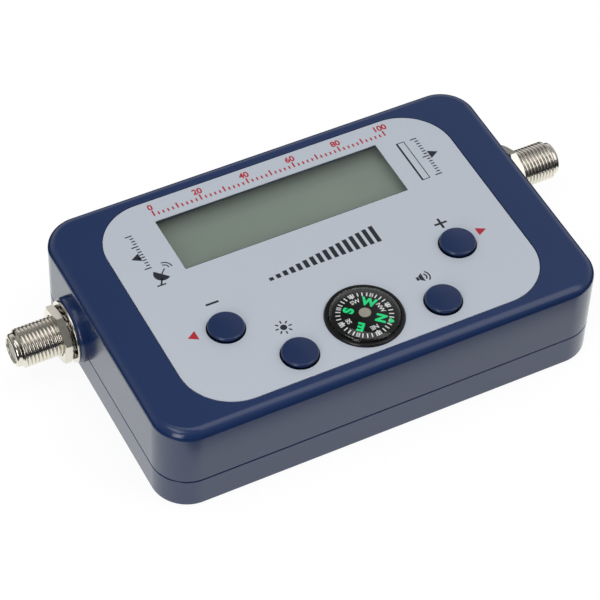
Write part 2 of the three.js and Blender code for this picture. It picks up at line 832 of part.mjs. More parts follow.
function compassPivot() {
  const low = compassBottom + compassFloor + seatGap;
  return turned([
    [0, low],
    [pivotFootRadius, low],
    [pivotFootRadius, low + pivotFootHeight],
    [pivotRadius, low + pivotFootHeight],
    [pivotRadius, pivotTop() - pivotRadius],
    [0, pivotTop()],
  ], postFacets);
}

function compass() {
  const group = new THREE.Group();
  group.add(
    named('compass_cup', compassCup(), 'compass_black'),
    named('compass_pivot', compassPivot(), 'brass'),
    named('compass_card', compassCard(), 'compass_card'),
    named('compass_cap', cardCap(), 'cap_grey'),
    named('compass_dome', compassDome(), 'clear_plastic'),
  );
  group.position.set(0, compassY, 0);
  return group;
}

// Distances along a port, from the face of its inner flange outwards.
const stackStart = gripLength + 2 * seatGap;
const lockStart = stackStart + washerThickness + seatGap;
const nutStart = lockStart + toothThickness + seatGap;
const threadEnd = nutStart + nutThickness + threadTurns * threadPitch;
const noseEnd = threadEnd + noseLength;

// The threaded barrel with its flange, its plain nose and the tail inside the case.
function portShell() {
  const root = threadRadius - threadDepth;
  const nose = threadRadius - noseInset;
  const ridges = [];
  for (let turn = 0; turn < threadTurns; turn += 1) {
    const start = nutStart + nutThickness + turn * threadPitch;
    ridges.push([threadRadius, start], [root, start + threadPitch / 2]);
  }
  const back = -flangeThickness;
  const bore = insulatorRadius + insulatorGap;
  const edge = noseEdge;
  return turnedRing([
    [bore, back - tailLength],
    [tailRadius, back - tailLength],
    [tailRadius, back],
    [flangeRadius, back],
    [flangeRadius, 0],
    [threadRadius, 0],
    ...ridges,
    [threadRadius, threadEnd],
    [nose, threadEnd + noseInset],
    [nose, noseEnd - edge],
    [nose - edge, noseEnd],
    [bore, noseEnd],
  ], portFacets);
}

function portInsulator() {
  const low = -flangeThickness - tailLength;
  const bore = contactRadius + insulatorGap;
  const front = noseEnd - insulatorRecess;
  return turnedRing([
    [bore, low],
    [insulatorRadius, low],
    [insulatorRadius, front],
    [bore, front],
  ], postFacets);
}

// The centre contact runs from just inside the nose to its joint on the board.
function portContact(seat) {
  const low = boardLength / 2 - contactOverlap - seat;
  return upright(0, 0, contactRadius, low, noseEnd - contactRecess, screwFacets);
}

function flatWasher() {
  const hole = threadRadius + washerHoleGap;
  return turnedRing([
    [hole, stackStart],
    [washerRadius, stackStart],
    [washerRadius, stackStart + washerThickness],
    [hole, stackStart + washerThickness],
  ], portFacets);
}

function toothedWasher() {
  const points = [];
  const step = (2 * Math.PI) / toothCount;
  const edges = [[0, toothRadius], [1 - toothGapShare, toothRadius], [1 - toothGapShare, 0], [1, 0]];
  for (let tooth = 0; tooth < toothCount; tooth += 1) {
    for (const [share, reach] of edges) {
      const angle = (tooth + share) * step;
      const radius = reach || toothRadius - toothDepth;
      points.push(new THREE.Vector2(radius * Math.cos(angle), radius * Math.sin(angle)));
    }
  }
  const shape = new THREE.Shape(points);
  shape.holes.push(circlePath(0, 0, threadRadius + washerHoleGap, portFacets));
  const ring = new THREE.ExtrudeGeometry(shape, { depth: toothThickness, bevelEnabled: false });
  return ring.translate(0, 0, lockStart);
}

// A hexagonal nut whose corners are turned down at both faces.
function hexNut(turn) {
  const corner = nutFlats / (2 * Math.cos(Math.PI / 6));
  const low = nutStart;
  const high = nutStart + nutThickness;
  const body = new THREE.CylinderGeometry(corner, corner, nutThickness, 6);
  body.rotateX(Math.PI / 2).rotateZ(turn - Math.PI / 2).translate(0, 0, (low + high) / 2);
  const rim = corner + cutOverrun;
  const drop = nutChamfer + cutOverrun;
  const blank = turned([
    [0, low],
    [corner - nutChamfer, low],
    [rim, low + drop],
    [rim, high - drop],
    [corner - nutChamfer, high],
    [0, high],
  ], portFacets);
  const hole = upright(0, 0, threadRadius + washerHoleGap, low - cutOverrun, high + cutOverrun, portFacets);
  return asGeometry(asSolid(body).intersect(asSolid(blank)).subtract(asSolid(hole)));
}

// One port, built upwards and then laid along X on its own side of the case.
function port(name, side, bossLength, nutTurn) {
  const seat = wallInnerX - (leftBossLength - bossLength) - seatGap;
  const group = new THREE.Group();
  group.add(
    named(`${name}_port_shell`, portShell(), 'nickel'),
    named(`${name}_port_insulator`, portInsulator(), 'white_insulator'),
    named(`${name}_port_contact`, portContact(seat), 'brass'),
    named(`${name}_flat_washer`, flatWasher(), 'nickel'),
    named(`${name}_toothed_washer`, toothedWasher(), 'zinc_steel'),
    named(`${name}_hex_nut`, hexNut(nutTurn), 'nickel'),
  );
  group.rotation.y = (side * Math.PI) / 2;
  group.position.set(side * seat, portOffset, portHeight);
  return group;
}

// A pan-head screw that points up, with a crossed slot under its head.
function screw(shank, length, headRadius, headHeight) {
  const body = asSolid(turned([
    [0, -headHeight],
    [headRadius, -headHeight],
    [headRadius, 0],
    [shank, 0],
    [shank, length - shank],
    [0, length],
  ], screwFacets));
  const width = headRadius * driveWidthShare;
  const reach = headRadius * driveLengthShare;
  const depth = headHeight * driveDepthShare;
  const low = -headHeight - cutOverrun;
  const slots = [[reach, width], [width, reach]].map(([slotLength, slotWidth]) => (
    asSolid(slab(0, 0, slotLength, slotWidth, low, depth - headHeight))
  ));
  return asGeometry(without(body, slots));
}

function screws() {
  const group = new THREE.Group();
  const caseSeat = headPocketDepth - seatGap;
  const caseScrewLength = sleeveTop + caseScrewReach - headPocketDepth;
  postPlaces.forEach(([x, y], index) => {
    const geometry = screw(caseScrewRadius, caseScrewLength, caseScrewHeadRadius, caseScrewHeadHeight);
    const piece = named(`case_screw_${index + 1}`, geometry, 'zinc_steel');
    piece.position.set(x, y, caseSeat);
    group.add(piece);
  });
  const boardScrewLength = boardThickness + boardScrewReach;
  standoffPlaces.forEach(([x, y], index) => {
    const geometry = screw(boardScrewRadius, boardScrewLength, boardScrewHeadRadius, boardScrewHeadHeight);
    const piece = named(`board_screw_${index + 1}`, geometry, 'zinc_steel');
    piece.position.set(x, y, boardBottom - seatGap);
    group.add(piece);
  });
  return group;
}

function signalMeter() {
  const group = new THREE.Group();
  group.add(
    named('top_case', topCase(), 'case_plastic'),
    named('bottom_case', bottomCase(), 'case_plastic'),
    named('face_label', faceLabel(), 'label_film'),
    display(),
    electronics(),
    compass(),
    port('left', -1, leftBossLength, leftNutTurn),
    port('right', 1, rightBossLength, rightNutTurn),
    screws(),
  );
  Object.entries(keyPlaces).forEach(([name, place]) => group.add(keySet(name, place)));
  return group;
}

const meter = signalMeter();

export default meter;
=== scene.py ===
import math
from functools import partial

import bpy
from mathutils import Matrix, Vector


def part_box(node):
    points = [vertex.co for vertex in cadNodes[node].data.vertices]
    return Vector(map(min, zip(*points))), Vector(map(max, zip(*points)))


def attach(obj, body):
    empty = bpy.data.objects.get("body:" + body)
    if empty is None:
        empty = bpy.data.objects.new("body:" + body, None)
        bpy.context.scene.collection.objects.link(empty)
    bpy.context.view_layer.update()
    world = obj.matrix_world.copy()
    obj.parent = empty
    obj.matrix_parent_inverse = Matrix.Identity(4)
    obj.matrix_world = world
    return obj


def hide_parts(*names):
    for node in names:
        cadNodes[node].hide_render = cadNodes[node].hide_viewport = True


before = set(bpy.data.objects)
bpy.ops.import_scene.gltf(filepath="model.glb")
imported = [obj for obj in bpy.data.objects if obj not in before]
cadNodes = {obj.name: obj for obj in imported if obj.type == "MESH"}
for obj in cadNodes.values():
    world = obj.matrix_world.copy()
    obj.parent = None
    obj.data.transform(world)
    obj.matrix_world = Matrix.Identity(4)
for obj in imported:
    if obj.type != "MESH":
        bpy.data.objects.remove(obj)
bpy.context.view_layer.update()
mm = 0.001  # the sizes below are in millimetres
over = 1.0  # how far a tool runs past what it cuts
print("frame loaded:", len(cadNodes), "nodes")


def addObject(name, data):
    thing = bpy.data.objects.new(name, data)
    bpy.context.scene.collection.objects.link(thing)
    return thing


def newPiece(name, points, faces):
    mesh = bpy.data.meshes.new(name)
    mesh.from_pydata([Vector(point) * mm for point in points], [], faces)
    mesh.validate()
    return addObject(name, mesh)


# What an object shows, as a plain mesh.
def plainMesh(thing):
    bpy.context.view_layer.update()
    return bpy.data.meshes.new_from_object(thing.evaluated_get(bpy.context.evaluated_depsgraph_get()))


# Turns the live modifiers of a piece into plain faces.
def settle(piece):
    mesh = plainMesh(piece)
    mesh.name = piece.name
    piece.modifiers.clear()
    old, piece.data = piece.data, mesh
    bpy.data.meshes.remove(old)
    return piece


# Moves the mesh of a piece in millimetres, after a turn in degrees about one axis.
def put(piece, x, y, z, turn=0.0, axis="Z"):
    piece.data.transform(Matrix.Translation(Vector((x, y, z)) * mm)
                         @ Matrix.Rotation(math.radians(turn), 4, axis))
    return piece


# Cuts, joins or meets a piece with closed tools, which are used up.
def carve(piece, tools, operation="DIFFERENCE"):
    for tool in tools:
        change = piece.modifiers.new("carve", "BOOLEAN")
        change.operation, change.solver, change.object = operation, "MANIFOLD", tool
    settle(piece)
    for tool in tools:
        mesh = tool.data
        bpy.data.objects.remove(tool)
        bpy.data.meshes.remove(mesh)
    return piece


# Smooth faces with sharp edges kept, and flat faces that stay flat beside round ones.
def soften(piece, sharpAngle=28):
    for face in piece.data.polygons:
        face.use_smooth = True
    piece.data.set_sharp_from_angle(angle=math.radians(sharpAngle))
    even = piece.modifiers.new("even", "WEIGHTED_NORMAL")
    even.keep_sharp = True
    even.weight = 100
    return settle(piece)


# The point at a reach and a turn in radians round a middle, moved aside by so much.
def polar(reach, turn, middle=(0, 0), aside=0.0):
    across, along = math.cos(turn), math.sin(turn)
    return (middle[0] + reach * across - aside * along, middle[1] + reach * along + aside * across)


# A piece turned about Z. The profile is (radius, height) pairs that run up the outside. Where it ends as it
# starts, the piece is a ring. A radius can also be a function of the share of the turn.
def turnedPiece(name, profile, steps):
    points, faces, rings = [], [], []
    closed = profile[0] == profile[-1]
    for radius, height in profile[:-1] if closed else profile:
        ring = range(len(points), len(points) + (1 if radius == 0 else steps))
        for step in range(len(ring)):
            reach = radius(step / steps) if callable(radius) else radius
            points.append((*polar(reach, 2 * math.pi * step / steps), height))
        rings.append(ring)
    if closed:
        rings.append(rings[0])
    for low, high in zip(rings, rings[1:]):
        for step in range(steps):
            after = (step + 1) % steps
            face = tuple(dict.fromkeys((low[step % len(low)], low[after % len(low)],
                                        high[after % len(high)], high[step % len(high)])))
            if len(face) > 2:
                faces.append(face)
    return newPiece(name, points, faces)


# Points of a rectangle with round corners, anticlockwise.
def roundedOutline(length, width, corner, steps=20, middle=(0, 0)):
    points = []
    for quarter, (signX, signY) in enumerate(((1, 1), (-1, 1), (-1, -1), (1, -1))):
        centre = (middle[0] + signX * (length / 2 - corner), middle[1] + signY * (width / 2 - corner))
        points += [polar(corner, (quarter + step / steps) * math.pi / 2, centre) for step in range(steps + 1)]
    return points


def circleOutline(radius, steps, middle=(0, 0)):
    return [polar(radius, 2 * math.pi * step / steps, middle) for step in range(steps)]


# A piece of closed solids, each through outlines with the same number of points, at rising heights.
def stackedPiece(name, *solids):
    points, faces = [], []
    for levels in solids:
        start, count = len(points), len(levels[0][0])
        points += [(x, y, height) for outline, height in levels for x, y in outline]
        last = len(points) - count
        faces += [tuple(reversed(range(start, start + count))), tuple(range(last, last + count))]
        for low in range(start, last, count):
            for step in range(count):
                after = (step + 1) % count
                faces.append((low + step, low + after, low + count + after, low + count + step))
    return newPiece(name, points, faces)


# Stacked rounded rectangles of the sizes given, each level as (inset, height).
def boxedPiece(name, sizes, levels, steps=20):
    middle = (sizes.get("x", 0), sizes.get("y", 0))
    return stackedPiece(name, [
        (roundedOutline(sizes["length"] - 2 * inset, sizes["width"] - 2 * inset, sizes["corner"] - inset,
                        steps, middle), height) for inset, height in levels])


# Upright rods at the spots given, as tools.
def rods(radius, low, high, spots=((0, 0),), steps=64):
    outlines = [circleOutline(radius, steps, spot) for spot in spots]
    return [stackedPiece("rod", [(outline, low), (outline, high)]) for outline in outlines]


def block(low, high):
    outline = [(low[0], low[1]), (high[0], low[1]), (high[0], high[1]), (low[0], high[1])]
    return stackedPiece("block", [(outline, low[2]), (outline, high[2])])


# (inset, height) levels of a quarter-round edge that ends at the height given.
def roundTop(height, radius, steps):
    turns = [math.pi / 2 * step / steps for step in range(steps + 1)]
    return [(radius * (1 - math.cos(turn)), height - radius + radius * math.sin(turn)) for turn in turns]


def roundBase(height, radius, steps):
    return [(inset, 2 * height - level) for inset, level in reversed(roundTop(height, radius, steps))]


# The same edges as (radius, height) pairs of a turned profile.
def turnedTop(reach, height, radius, steps=6):
    return [(reach - inset, level) for inset, level in roundTop(height, radius, steps)]


def turnedBase(reach, height, radius, steps=6):
    return [(reach - inset, level) for inset, level in roundBase(height, radius, steps)]


# Puts the meshes of several pieces into the first one.
def gather(name, pieces):
    bpy.ops.object.select_all(action="DESELECT")
    for piece in pieces:
        piece.select_set(True)
    bpy.context.view_layer.objects.active = pieces[0]
    bpy.ops.object.join()
    pieces[0].name = pieces[0].data.name = name
    return pieces[0]


# A hex colour as the linear values that a shader takes.
def linear(code):
    def channel(value):
        return value / 12.92 if value <= 0.04045 else ((value + 0.055) / 1.055) ** 2.4
    return tuple(channel(int(code[start:start + 2], 16) / 255) for start in (1, 3, 5)) + (1,)


# Adds a node, a shader node where the kind has no prefix. A node or a socket as value is linked, a node by
# its first output. Any other value goes to the socket of that name or number, or else to the property.
def addNode(tree, kind, values=None):
    node = tree.nodes.new(kind if "Node" in kind else "ShaderNode" + kind)
    values = values or {}
    for key, value in values.items():
        if isinstance(key, str) and hasattr(node, key) and key not in node.inputs:
            setattr(node, key, value)
    for key, value in values.items():
        if isinstance(value, bpy.types.Node):
            tree.links.new(value.outputs[0], node.inputs[key])
        elif isinstance(value, bpy.types.NodeSocket):
            tree.links.new(value, node.inputs[key])
        elif isinstance(key, int) or key in node.inputs:
            node.inputs[key].default_value = value
    return node


# A new material and the function that adds nodes to it.
def newMaterial(name):
    material = bpy.data.materials.new(name)
    material.use_nodes = True
    material.node_tree.nodes.clear()
    return material, partial(addNode, material.node_tree)


def closeMaterial(material, shader):
    addNode(material.node_tree, "OutputMaterial", {"Surface": shader})
    return material


# Object coordinates as a count of cells of the size given, in millimetres along X, Y and Z.
def cells(add, size):
    sizes = size if isinstance(size, tuple) else (size, size, size)
    return add("Mapping", {
        "Scale": tuple(1 / (one * mm) for one in sizes),
        "Vector": add("TexCoord").outputs["Object"]})


# How three kinds of surface are built. Without a drift, the colour follows the grain.
satin = {"drift": 18, "driftDetail": 2.0, "grain": {"Detail": 2.0, "Roughness": 0.6}, "relief": 0.5,
         "shader": {"IOR": 1.52}}
plain = {"grain": {"Detail": 3.0}, "relief": 0.4, "shader": {"IOR": 1.5}}
metal = {"drift": 3, "driftDetail": 4.0, "grain": {"Detail": 3.0}, "relief": 0.3, "shader": {"Metallic": 1.0}}


# A solid finish. The colour wanders between two shades and the grain stands up a little, which breaks up what
# the surface mirrors. Two values of roughness are the least and the most, and it wanders with the grain.
def surface(kind, name, colours, roughness, grain=0.5, depth=0.01, **own):
    material, add = newMaterial(name)
    fine = add("TexNoise", {"Scale": 1.0, **kind["grain"], "Vector": cells(add, grain)})
    drift = fine
    if "drift" in kind:
        drift = add("TexNoise", {
            "Scale": 1.0, "Detail": kind["driftDetail"], "Vector": cells(add, kind["drift"])})
    colour = add("Mix", {
        "data_type": "RGBA", 0: drift, 6: linear(colours[0]), 7: linear(colours[1])})
    bump = add("Bump", {"Strength": kind["relief"], "Distance": depth * mm, "Height": fine})
    if isinstance(roughness, tuple):
        roughness = add("MapRange", {"To Min": roughness[0], "To Max": roughness[1], "Value": fine})
    return closeMaterial(material, add("BsdfPrincipled", {
        **kind["shader"], **own, "Base Color": colour.outputs[2], "Roughness": roughness, "Normal": bump}))


# Clear polished plastic. Lamps and soft light pass straight through, sight is bent.
def clearPlastic(name, colour, ior):
    material, add = newMaterial(name)
    glassy = add("BsdfPrincipled", {
        "Base Color": linear(colour), "Roughness": 0.0, "IOR": ior, "Transmission Weight": 1.0})
    path = add("LightPath").outputs
    light = add("Math", {"operation": "MAXIMUM", 0: path["Is Shadow Ray"], 1: path["Is Diffuse Ray"]})
    through = add("BsdfTransparent")
    return closeMaterial(material, add("MixShader", {0: light, 1: glassy, 2: through}))


# Green solder mask over copper: the tracks stand up a little and look paler than the bare board.
def solderMask(name):
    material, add = newMaterial(name)
    tracks = add("TexBrick", {
        "Scale": 1.0, "Color1": (1, 1, 1, 1), "Color2": (0.7, 0.7, 0.7, 1), "Mortar": (0, 0, 0, 1),
        "Mortar Size": 0.12, "Brick Width": 4.1, "Row Height": 1.0, "Vector": cells(add, 1.27)})
    fine = add("TexNoise", {"Scale": 1.0, "Detail": 2.0, "Vector": cells(add, 0.8)})
    colour = add("Mix", {
        "data_type": "RGBA", 0: tracks, 6: linear("#174a2c"), 7: linear("#23653c")})
    return closeMaterial(material, add("BsdfPrincipled", {
        "IOR": 1.55, "Base Color": colour.outputs[2],
        "Roughness": add("MapRange", {"To Min": 0.28, "To Max": 0.42, "Value": fine}),
        "Normal": add("Bump", {"Strength": 0.5, "Distance": 0.03 * mm, "Height": tracks})}))


# The display behind its polariser: grey-green with the faint grid of its character cells. Between the two
# places along Y painted shade darkens it to the back, for the shade its frame casts on the reflector behind
# the liquid crystal.
film = {"cell": 0.62, "gridShare": 0.12, "cloud": 14, "shadeStart": 20.5, "shadeEnd": 29.5, "paintedShade": 0.57}


def displayFilm(name):
    material, add = newMaterial(name)
    grid = add("TexBrick", {
        "offset": 0.0, "Scale": 1.0, "Color1": (1, 1, 1, 1), "Color2": (1, 1, 1, 1), "Mortar": (0, 0, 0, 1),
        "Mortar Size": 0.08, "Brick Width": 1.0, "Row Height": 1.0, "Vector": cells(add, film["cell"])})
    cloud = add("TexNoise", {"Scale": 1.0, "Detail": 2.0, "Vector": cells(add, film["cloud"])})
    ground = add("Mix", {
        "data_type": "RGBA", 0: cloud, 6: linear("#8a998e"), 7: linear("#909e93")})
    faint = add("Math", {"operation": "MULTIPLY", 0: grid, 1: film["gridShare"]})
    colour = add("Mix", {
        "data_type": "RGBA", 0: faint, 6: ground.outputs[2], 7: linear("#727d72")})
    split = add("SeparateXYZ", {0: add("TexCoord").outputs["Object"]})
    # Painted shade: the colour gets darker towards the back along Y.
    paintedShade = add("MapRange", {
        "interpolation_type": "SMOOTHSTEP", "From Min": film["shadeStart"] * mm,
        "From Max": film["shadeEnd"] * mm, "To Min": 0.0, "To Max": film["paintedShade"],
        "Value": split.outputs["Y"]})
    withPaintedShade = add("Mix", {
        "data_type": "RGBA", 0: paintedShade, 6: colour.outputs[2], 7: (0, 0, 0, 1)})
    return closeMaterial(material, add("BsdfPrincipled", {
        "IOR": 1.5, "Roughness": 0.22, "Base Color": withPaintedShade.outputs[2]}))


finishes = {
    # ABS injection moulded in a spark-eroded tool: deep navy whose highlights are broad and a little sandy.
    # The grain is drawn at 0.3 mm, coarser than the real one, which would be too fine to show.
    "case": surface(satin, "satinNavyAbs", ("#1e3563", "#213867"), (0.16, 0.25), 0.3, 0.02),
    "key": surface(satin, "satinNavyKeys", ("#1a2f5a", "#1d325f"), (0.16, 0.24), 0.3, 0.006),
    # Screen-printed polycarbonate: pale cool grey with no clear mirror image, and inks that lie flat on it.
    "film": surface(plain, "printedPolycarbonateFilm", ("#ccd5e1", "#d2dae5"), 0.42, 0.35, 0.006),
    "redInk": surface(plain, "redScreenInk", ("#bd1c30", "#c52338"), 0.4, 0.3, 0.004),
    "blackInk": surface(plain, "blackScreenInk", ("#141c28", "#18212e"), 0.45, 0.3, 0.004),
    # Polished acrylic sheet: clear, with sharp highlights.
    "clear": clearPlastic("clearAcrylic", "#fbfcfb", 1.49),
    "display": displayFilm("liquidCrystalDisplay"),
    "guide": surface(plain, "milkyLightGuide", ("#a9b1a4", "#b2baad"), 0.5),  # cast acrylic, evenly milky
    # Chemically blackened sheet: black, with the glint of the metal under it.
    "blackSteel": surface(plain, "blackenedSteelSheet", ("#191a1c", "#222326"), 0.38, 0.4, 0.004, IOR=2.0),
    # Bright nickel over turned brass: near-mirror bands with a warm tinge and fine marks round the barrel.
    "nickel": surface(metal, "brightNickelPlate", ("#cdc8bd", "#d6d1c7"), (0.13, 0.2), (0.15, 2, 2), 0.004),
    # Rolled sheet, dipped in tin: soft silver with marks along X.
    "tin": surface(metal, "tinnedSteelSheet", ("#b4b6b8", "#c2c4c5"), (0.25, 0.38), (1.5, 0.2, 0.2), 0.004),
    # Bright zinc plate on stamped steel: greyer and duller than the nickel beside it.
    "zinc": surface(metal, "brightZincPlate", ("#8f8b84", "#9f9a92"), (0.22, 0.34), (0.2, 0.6, 0.6), 0.004),
    # Brass off the lathe: yellow, with marks round the piece.
    "brass": surface(metal, "turnedBrass", ("#c09a4e", "#cba75c"), (0.2, 0.3), (0.15, 1, 1), 0.004),
    # Deep-drawn aluminium: pale and dull, with level marks.
    "can": surface(metal, "bareAluminiumCan", ("#b2b4b6", "#bfc1c3"), (0.3, 0.4), (1, 1, 0.2), 0.004),
    # Moulded polyethylene: a waxy off-white.
    "insulator": surface(plain, "offWhitePolyethylene", ("#dedbce", "#e7e4d8"), 0.45),
    "board": solderMask("greenSolderMask"),
    # Transfer-moulded epoxy: dull black.
    "moulding": surface(plain, "blackEpoxyMoulding", ("#18191b", "#202124"), 0.5, 0.2, 0.01, IOR=1.55),
    # Polished ABS: a black rim with one sharp highlight.
    "compass": surface(plain, "polishedBlackAbs", ("#08090a", "#0c0d0e"), 0.08, 1.0, 0.002),
    # The compass card and its inks lie in oil, which takes their gloss: their IOR is what is left in it.
    "card": surface(plain, "blackCardInk", ("#0e100f", "#131514"), 0.6, 0.4, 0.004, IOR=1.06),
    "whiteInk": surface(plain, "whiteCardInk", ("#eef1f2", "#f6f8f8"), 0.5, 0.4, 0.002, IOR=1.06),
    "greenInk": surface(plain, "paleGreenCardInk", ("#22f090", "#30f79c"), 0.5, 0.4, 0.002, IOR=1.06),
    "cap": surface(plain, "warmGreyAbs", ("#a39c90", "#aea79b"), 0.38),  # moulded, warm grey, half matt
    # The inner faces of the dome touch oil that bends light almost as plastic does, so they hardly show.
    "liquid": clearPlastic("compassOil", "#fdfdfa", 1.01),
}
print("finishes made:", len(finishes))


# Gives a finished piece its finish, its body and the nodes it stands for.
def dress(piece, body, slot, finish, *stands):
    piece.data.materials.clear()
    piece.data.materials.append(finishes[finish])
    if stands:
        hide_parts(*stands)
    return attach(piece, body)


# The case is two shells. The sizes of what the face carries are here too: the shells are cut to fit it.
case = {"length": 117.5, "width": 75.3, "height": 26.5, "corner": 9.2, "topRound": 2.5, "baseRound": 0.6,
        "wall": 2.2, "ceiling": 24.1, "floor": 2.2, "parting": 8.7, "seam": 0.05, "bevel": 0.1,
        "groove": 0.42, "grooveDepth": 0.8, "grooveEdge": 0.04, "recessRound": 0.12, "recessShare": 0.3,
        "steps": 28}
label = {"length": 94.8, "width": 67.0, "corner": 13.3, "low": 26.05, "top": 26.4, "gap": 0.2, "floor": 26.0,
         "edge": 0.05}
window = {"length": 61.05, "width": 17.35, "corner": 0.3, "x": -1.325, "y": 18.025, "shelf": 0.9,
          "margin": 1.8, "low": 25.2, "seat": 26.0, "step": 0.2, "edge": 0.08, "play": 0.05}
port = {"y": 14.2, "z": 13.25, "boss": 8.4, "bossEdge": 1.0, "left": 2.25, "right": 1.2, "hole": 5.2}
compass = {"y": -22.5, "radius": 9.65, "hole": 9.8, "rimTop": 27.0, "rimWidth": 0.9, "rimRound": 0.3,
           "rimEdge": 0.1, "low": 19.8, "floor": 1.0, "floorRound": 0.4, "bore": 8.15, "seat": 25.35,
           "wellWall": 1.2, "wellDeep": 1.05, "play": 0.05}
keys = {"radius": 4.5, "hole": 4.8, "sideTop": 27.6, "crown": 27.8, "edge": 0.45, "foot": 3.9,
        "footTop": 26.0, "flange": 5.7, "flangeLow": 22.8, "flangeTop": 23.8, "stem": 2.2, "stemLow": 17.95,
        "crownRings": (0.8, 1.6, 2.4, 3.2)}
keyPlaces = {"step_down": (-31.3, -11.7), "step_up": (31.3, -11.7),
             "light": (-19.2, -26.3), "sound": (19.2, -26.3)}
posts = {"x": 50.6, "y": 29.5, "radius": 3.3, "split": 10.0, "pilot": 1.4, "pilotTop": 16.55,
         "sleeveHole": 1.5, "pocket": 2.8, "pocketDepth": 3.0}
standoffs = {"x": 44.05, "front": -19.95, "back": 25.95, "radius": 2.4, "low": 12.8, "pilot": 1.2,
             "pilotTop": 17.8}
postPlaces = [(x * posts["x"], y * posts["y"]) for x, y in ((-1, -1), (1, -1), (1, 1), (-1, 1))]
standoffPlaces = [(x * standoffs["x"], y) for x in (-1, 1) for y in (standoffs["front"], standoffs["back"])]
compassPlace = (0, compass["y"])


# Lays a piece built upwards along X, on one side of the case.
def alongPort(piece, side, seat):
    return put(piece, side * seat, port["y"], port["z"], side * 90, "Y")


# A rod through both ports, as a tool.
def portRod(radius, reach):
    return alongPort(rods(radius, -reach, reach)[0], 1, 0)


bossCut = {"away": 20, "wide": 40, "bevelWide": 12, "coreStart": 4, "wallStart": 0.02, "spare": 0.1,
           "lap": 0.02}


# The round boss of a port, above or below the parting line. The groove that shows as that line is cut in the
# upper half, and the lower half has a small bevel. Both are what a block leaves round a core.
def halfBoss(side, upper):
    length = port["right"] if side > 0 else port["left"]
    inner = case["length"] / 2 - case["wall"] - (port["left"] - length)
    face = case["length"] / 2 + length
    boss = alongPort(turnedPiece("boss", [
        (0, inner), (port["boss"], inner), *turnedTop(port["boss"], face, port["bossEdge"]),
        (0, face)], 128), side, 0)
    reach, wide = face + over, bossCut["wide"]
    cutSide = -1 if upper else 1
    plane = case["parting"] + (case["seam"] if upper else 0)
    low, high = sorted((plane, plane + cutSide * bossCut["away"]))
    carve(boss, [block((-reach, -wide, low), (reach, wide, high))])
    size, deep = case["bevel"], case["bevel"]
    steps = ((-2 * over, size), (0, size), (size, -bossCut["lap"]),
             (size + bossCut["spare"], -bossCut["spare"]))
    if upper:
        size, deep = case["groove"] - case["seam"], case["grooveDepth"]
        steps = ((-2 * over, deep), (size + bossCut["spare"], deep))
    rows = []
    for rise, inset in steps:
        half = math.sqrt(port["boss"] ** 2 - (port["z"] - plane) ** 2) - inset
        start, end = sorted((side * (case["length"] / 2 - bossCut["coreStart"]), side * (face - inset)))
        rows.append(([(start, port["y"] - half), (end, port["y"] - half), (end, port["y"] + half),
                      (start, port["y"] + half)], plane - cutSide * rise))
    core = stackedPiece("core", rows if upper else rows[::-1])
    wallFace = case["length"] / 2 + bossCut["wallStart"] - (deep if upper else 0)
    start, end = sorted((side * wallFace, side * reach))
    low, high = sorted((plane + cutSide * over, plane - cutSide * size))
    wide = bossCut["bevelWide"]
    bevel = carve(block((start, port["y"] - wide, low), (end, port["y"] + wide, high)), [core])
    return carve(boss, [bevel])


# The sizes of the window with a margin all round.
def windowSizes(margin):
    return {**window, "length": window["length"] + 2 * margin, "width": window["width"] + 2 * margin}


def windowBox(name, margin, low, high):
    return boxedPiece(name, windowSizes(margin), [(0, low), (0, high)], 4)


# Hollows out a shell that is still solid.
def hollowed(shell):
    space = boxedPiece("hollow", case, [(case["wall"], case["floor"]), (case["wall"], case["ceiling"])])
    return carve(shell, [space])


def topShell():
    start, lineTop = case["parting"] + case["seam"], case["parting"] + case["groove"]
    height, above, edge = case["height"], case["height"] + over, case["recessRound"]
    bend = edge * case["recessShare"]
    deep = case["ceiling"] + case["seam"]
    shell = boxedPiece("topShell", case, [
        (case["grooveDepth"], start), (case["grooveDepth"], lineTop), (case["grooveEdge"], lineTop),
        (0, lineTop + case["grooveEdge"]), *roundTop(height, case["topRound"], 14)], case["steps"])
    carve(hollowed(shell), [
        halfBoss(-1, True), halfBoss(1, True),
        *rods(posts["radius"], posts["split"] + case["seam"], deep, postPlaces, 48),
        *rods(standoffs["radius"], standoffs["low"], deep, standoffPlaces, 40),
        *rods(compass["hole"] + compass["wellWall"], compass["low"] - compass["wellDeep"], deep,
              [compassPlace])], "UNION")
    gap = -label["gap"]
    recess = boxedPiece("recess", label, [
        (gap, label["floor"]), (gap, height - edge), (gap - bend, height - bend),
        (gap - edge, height), (gap - edge, above)], case["steps"])
    under = case["ceiling"] - over
    return soften(carve(shell, [
        recess, portRod(port["hole"], case["length"] / 2 + port["left"] + over),
        windowBox("opening", window["shelf"], under, above),
        windowBox("pocket", window["margin"] + window["play"], window["low"] - window["play"], above),
        *rods(compass["hole"], compass["low"] - compass["play"], above, [compassPlace], 128),
        *rods(keys["hole"], under, above, keyPlaces.values(), 96),
        *rods(posts["pilot"], posts["split"] - over, posts["pilotTop"], postPlaces, 24),
        *rods(standoffs["pilot"], standoffs["low"] - over, standoffs["pilotTop"], standoffPlaces, 24)]))


lip = {"gap": 0.15, "thickness": 0.9, "low": 7.2, "top": 10.1, "edge": 0.2}


# The tongue that stands up inside the upper shell.
def tongue():
    outer, rim = case["wall"] + lip["gap"], case["wall"] - case["seam"]
    inner = outer + lip["thickness"]
    ring = boxedPiece("tongue", case, [
        (rim, lip["low"]), (rim, case["parting"] - case["seam"]), (outer, case["parting"]),
        (outer, lip["top"] - lip["edge"]), (outer + lip["edge"], lip["top"])])
    return carve(ring, [boxedPiece("inside", case, [(inner, lip["low"] - over), (inner, lip["top"] + over)]),
                        portRod(port["boss"] + lip["gap"], case["length"] / 2)])


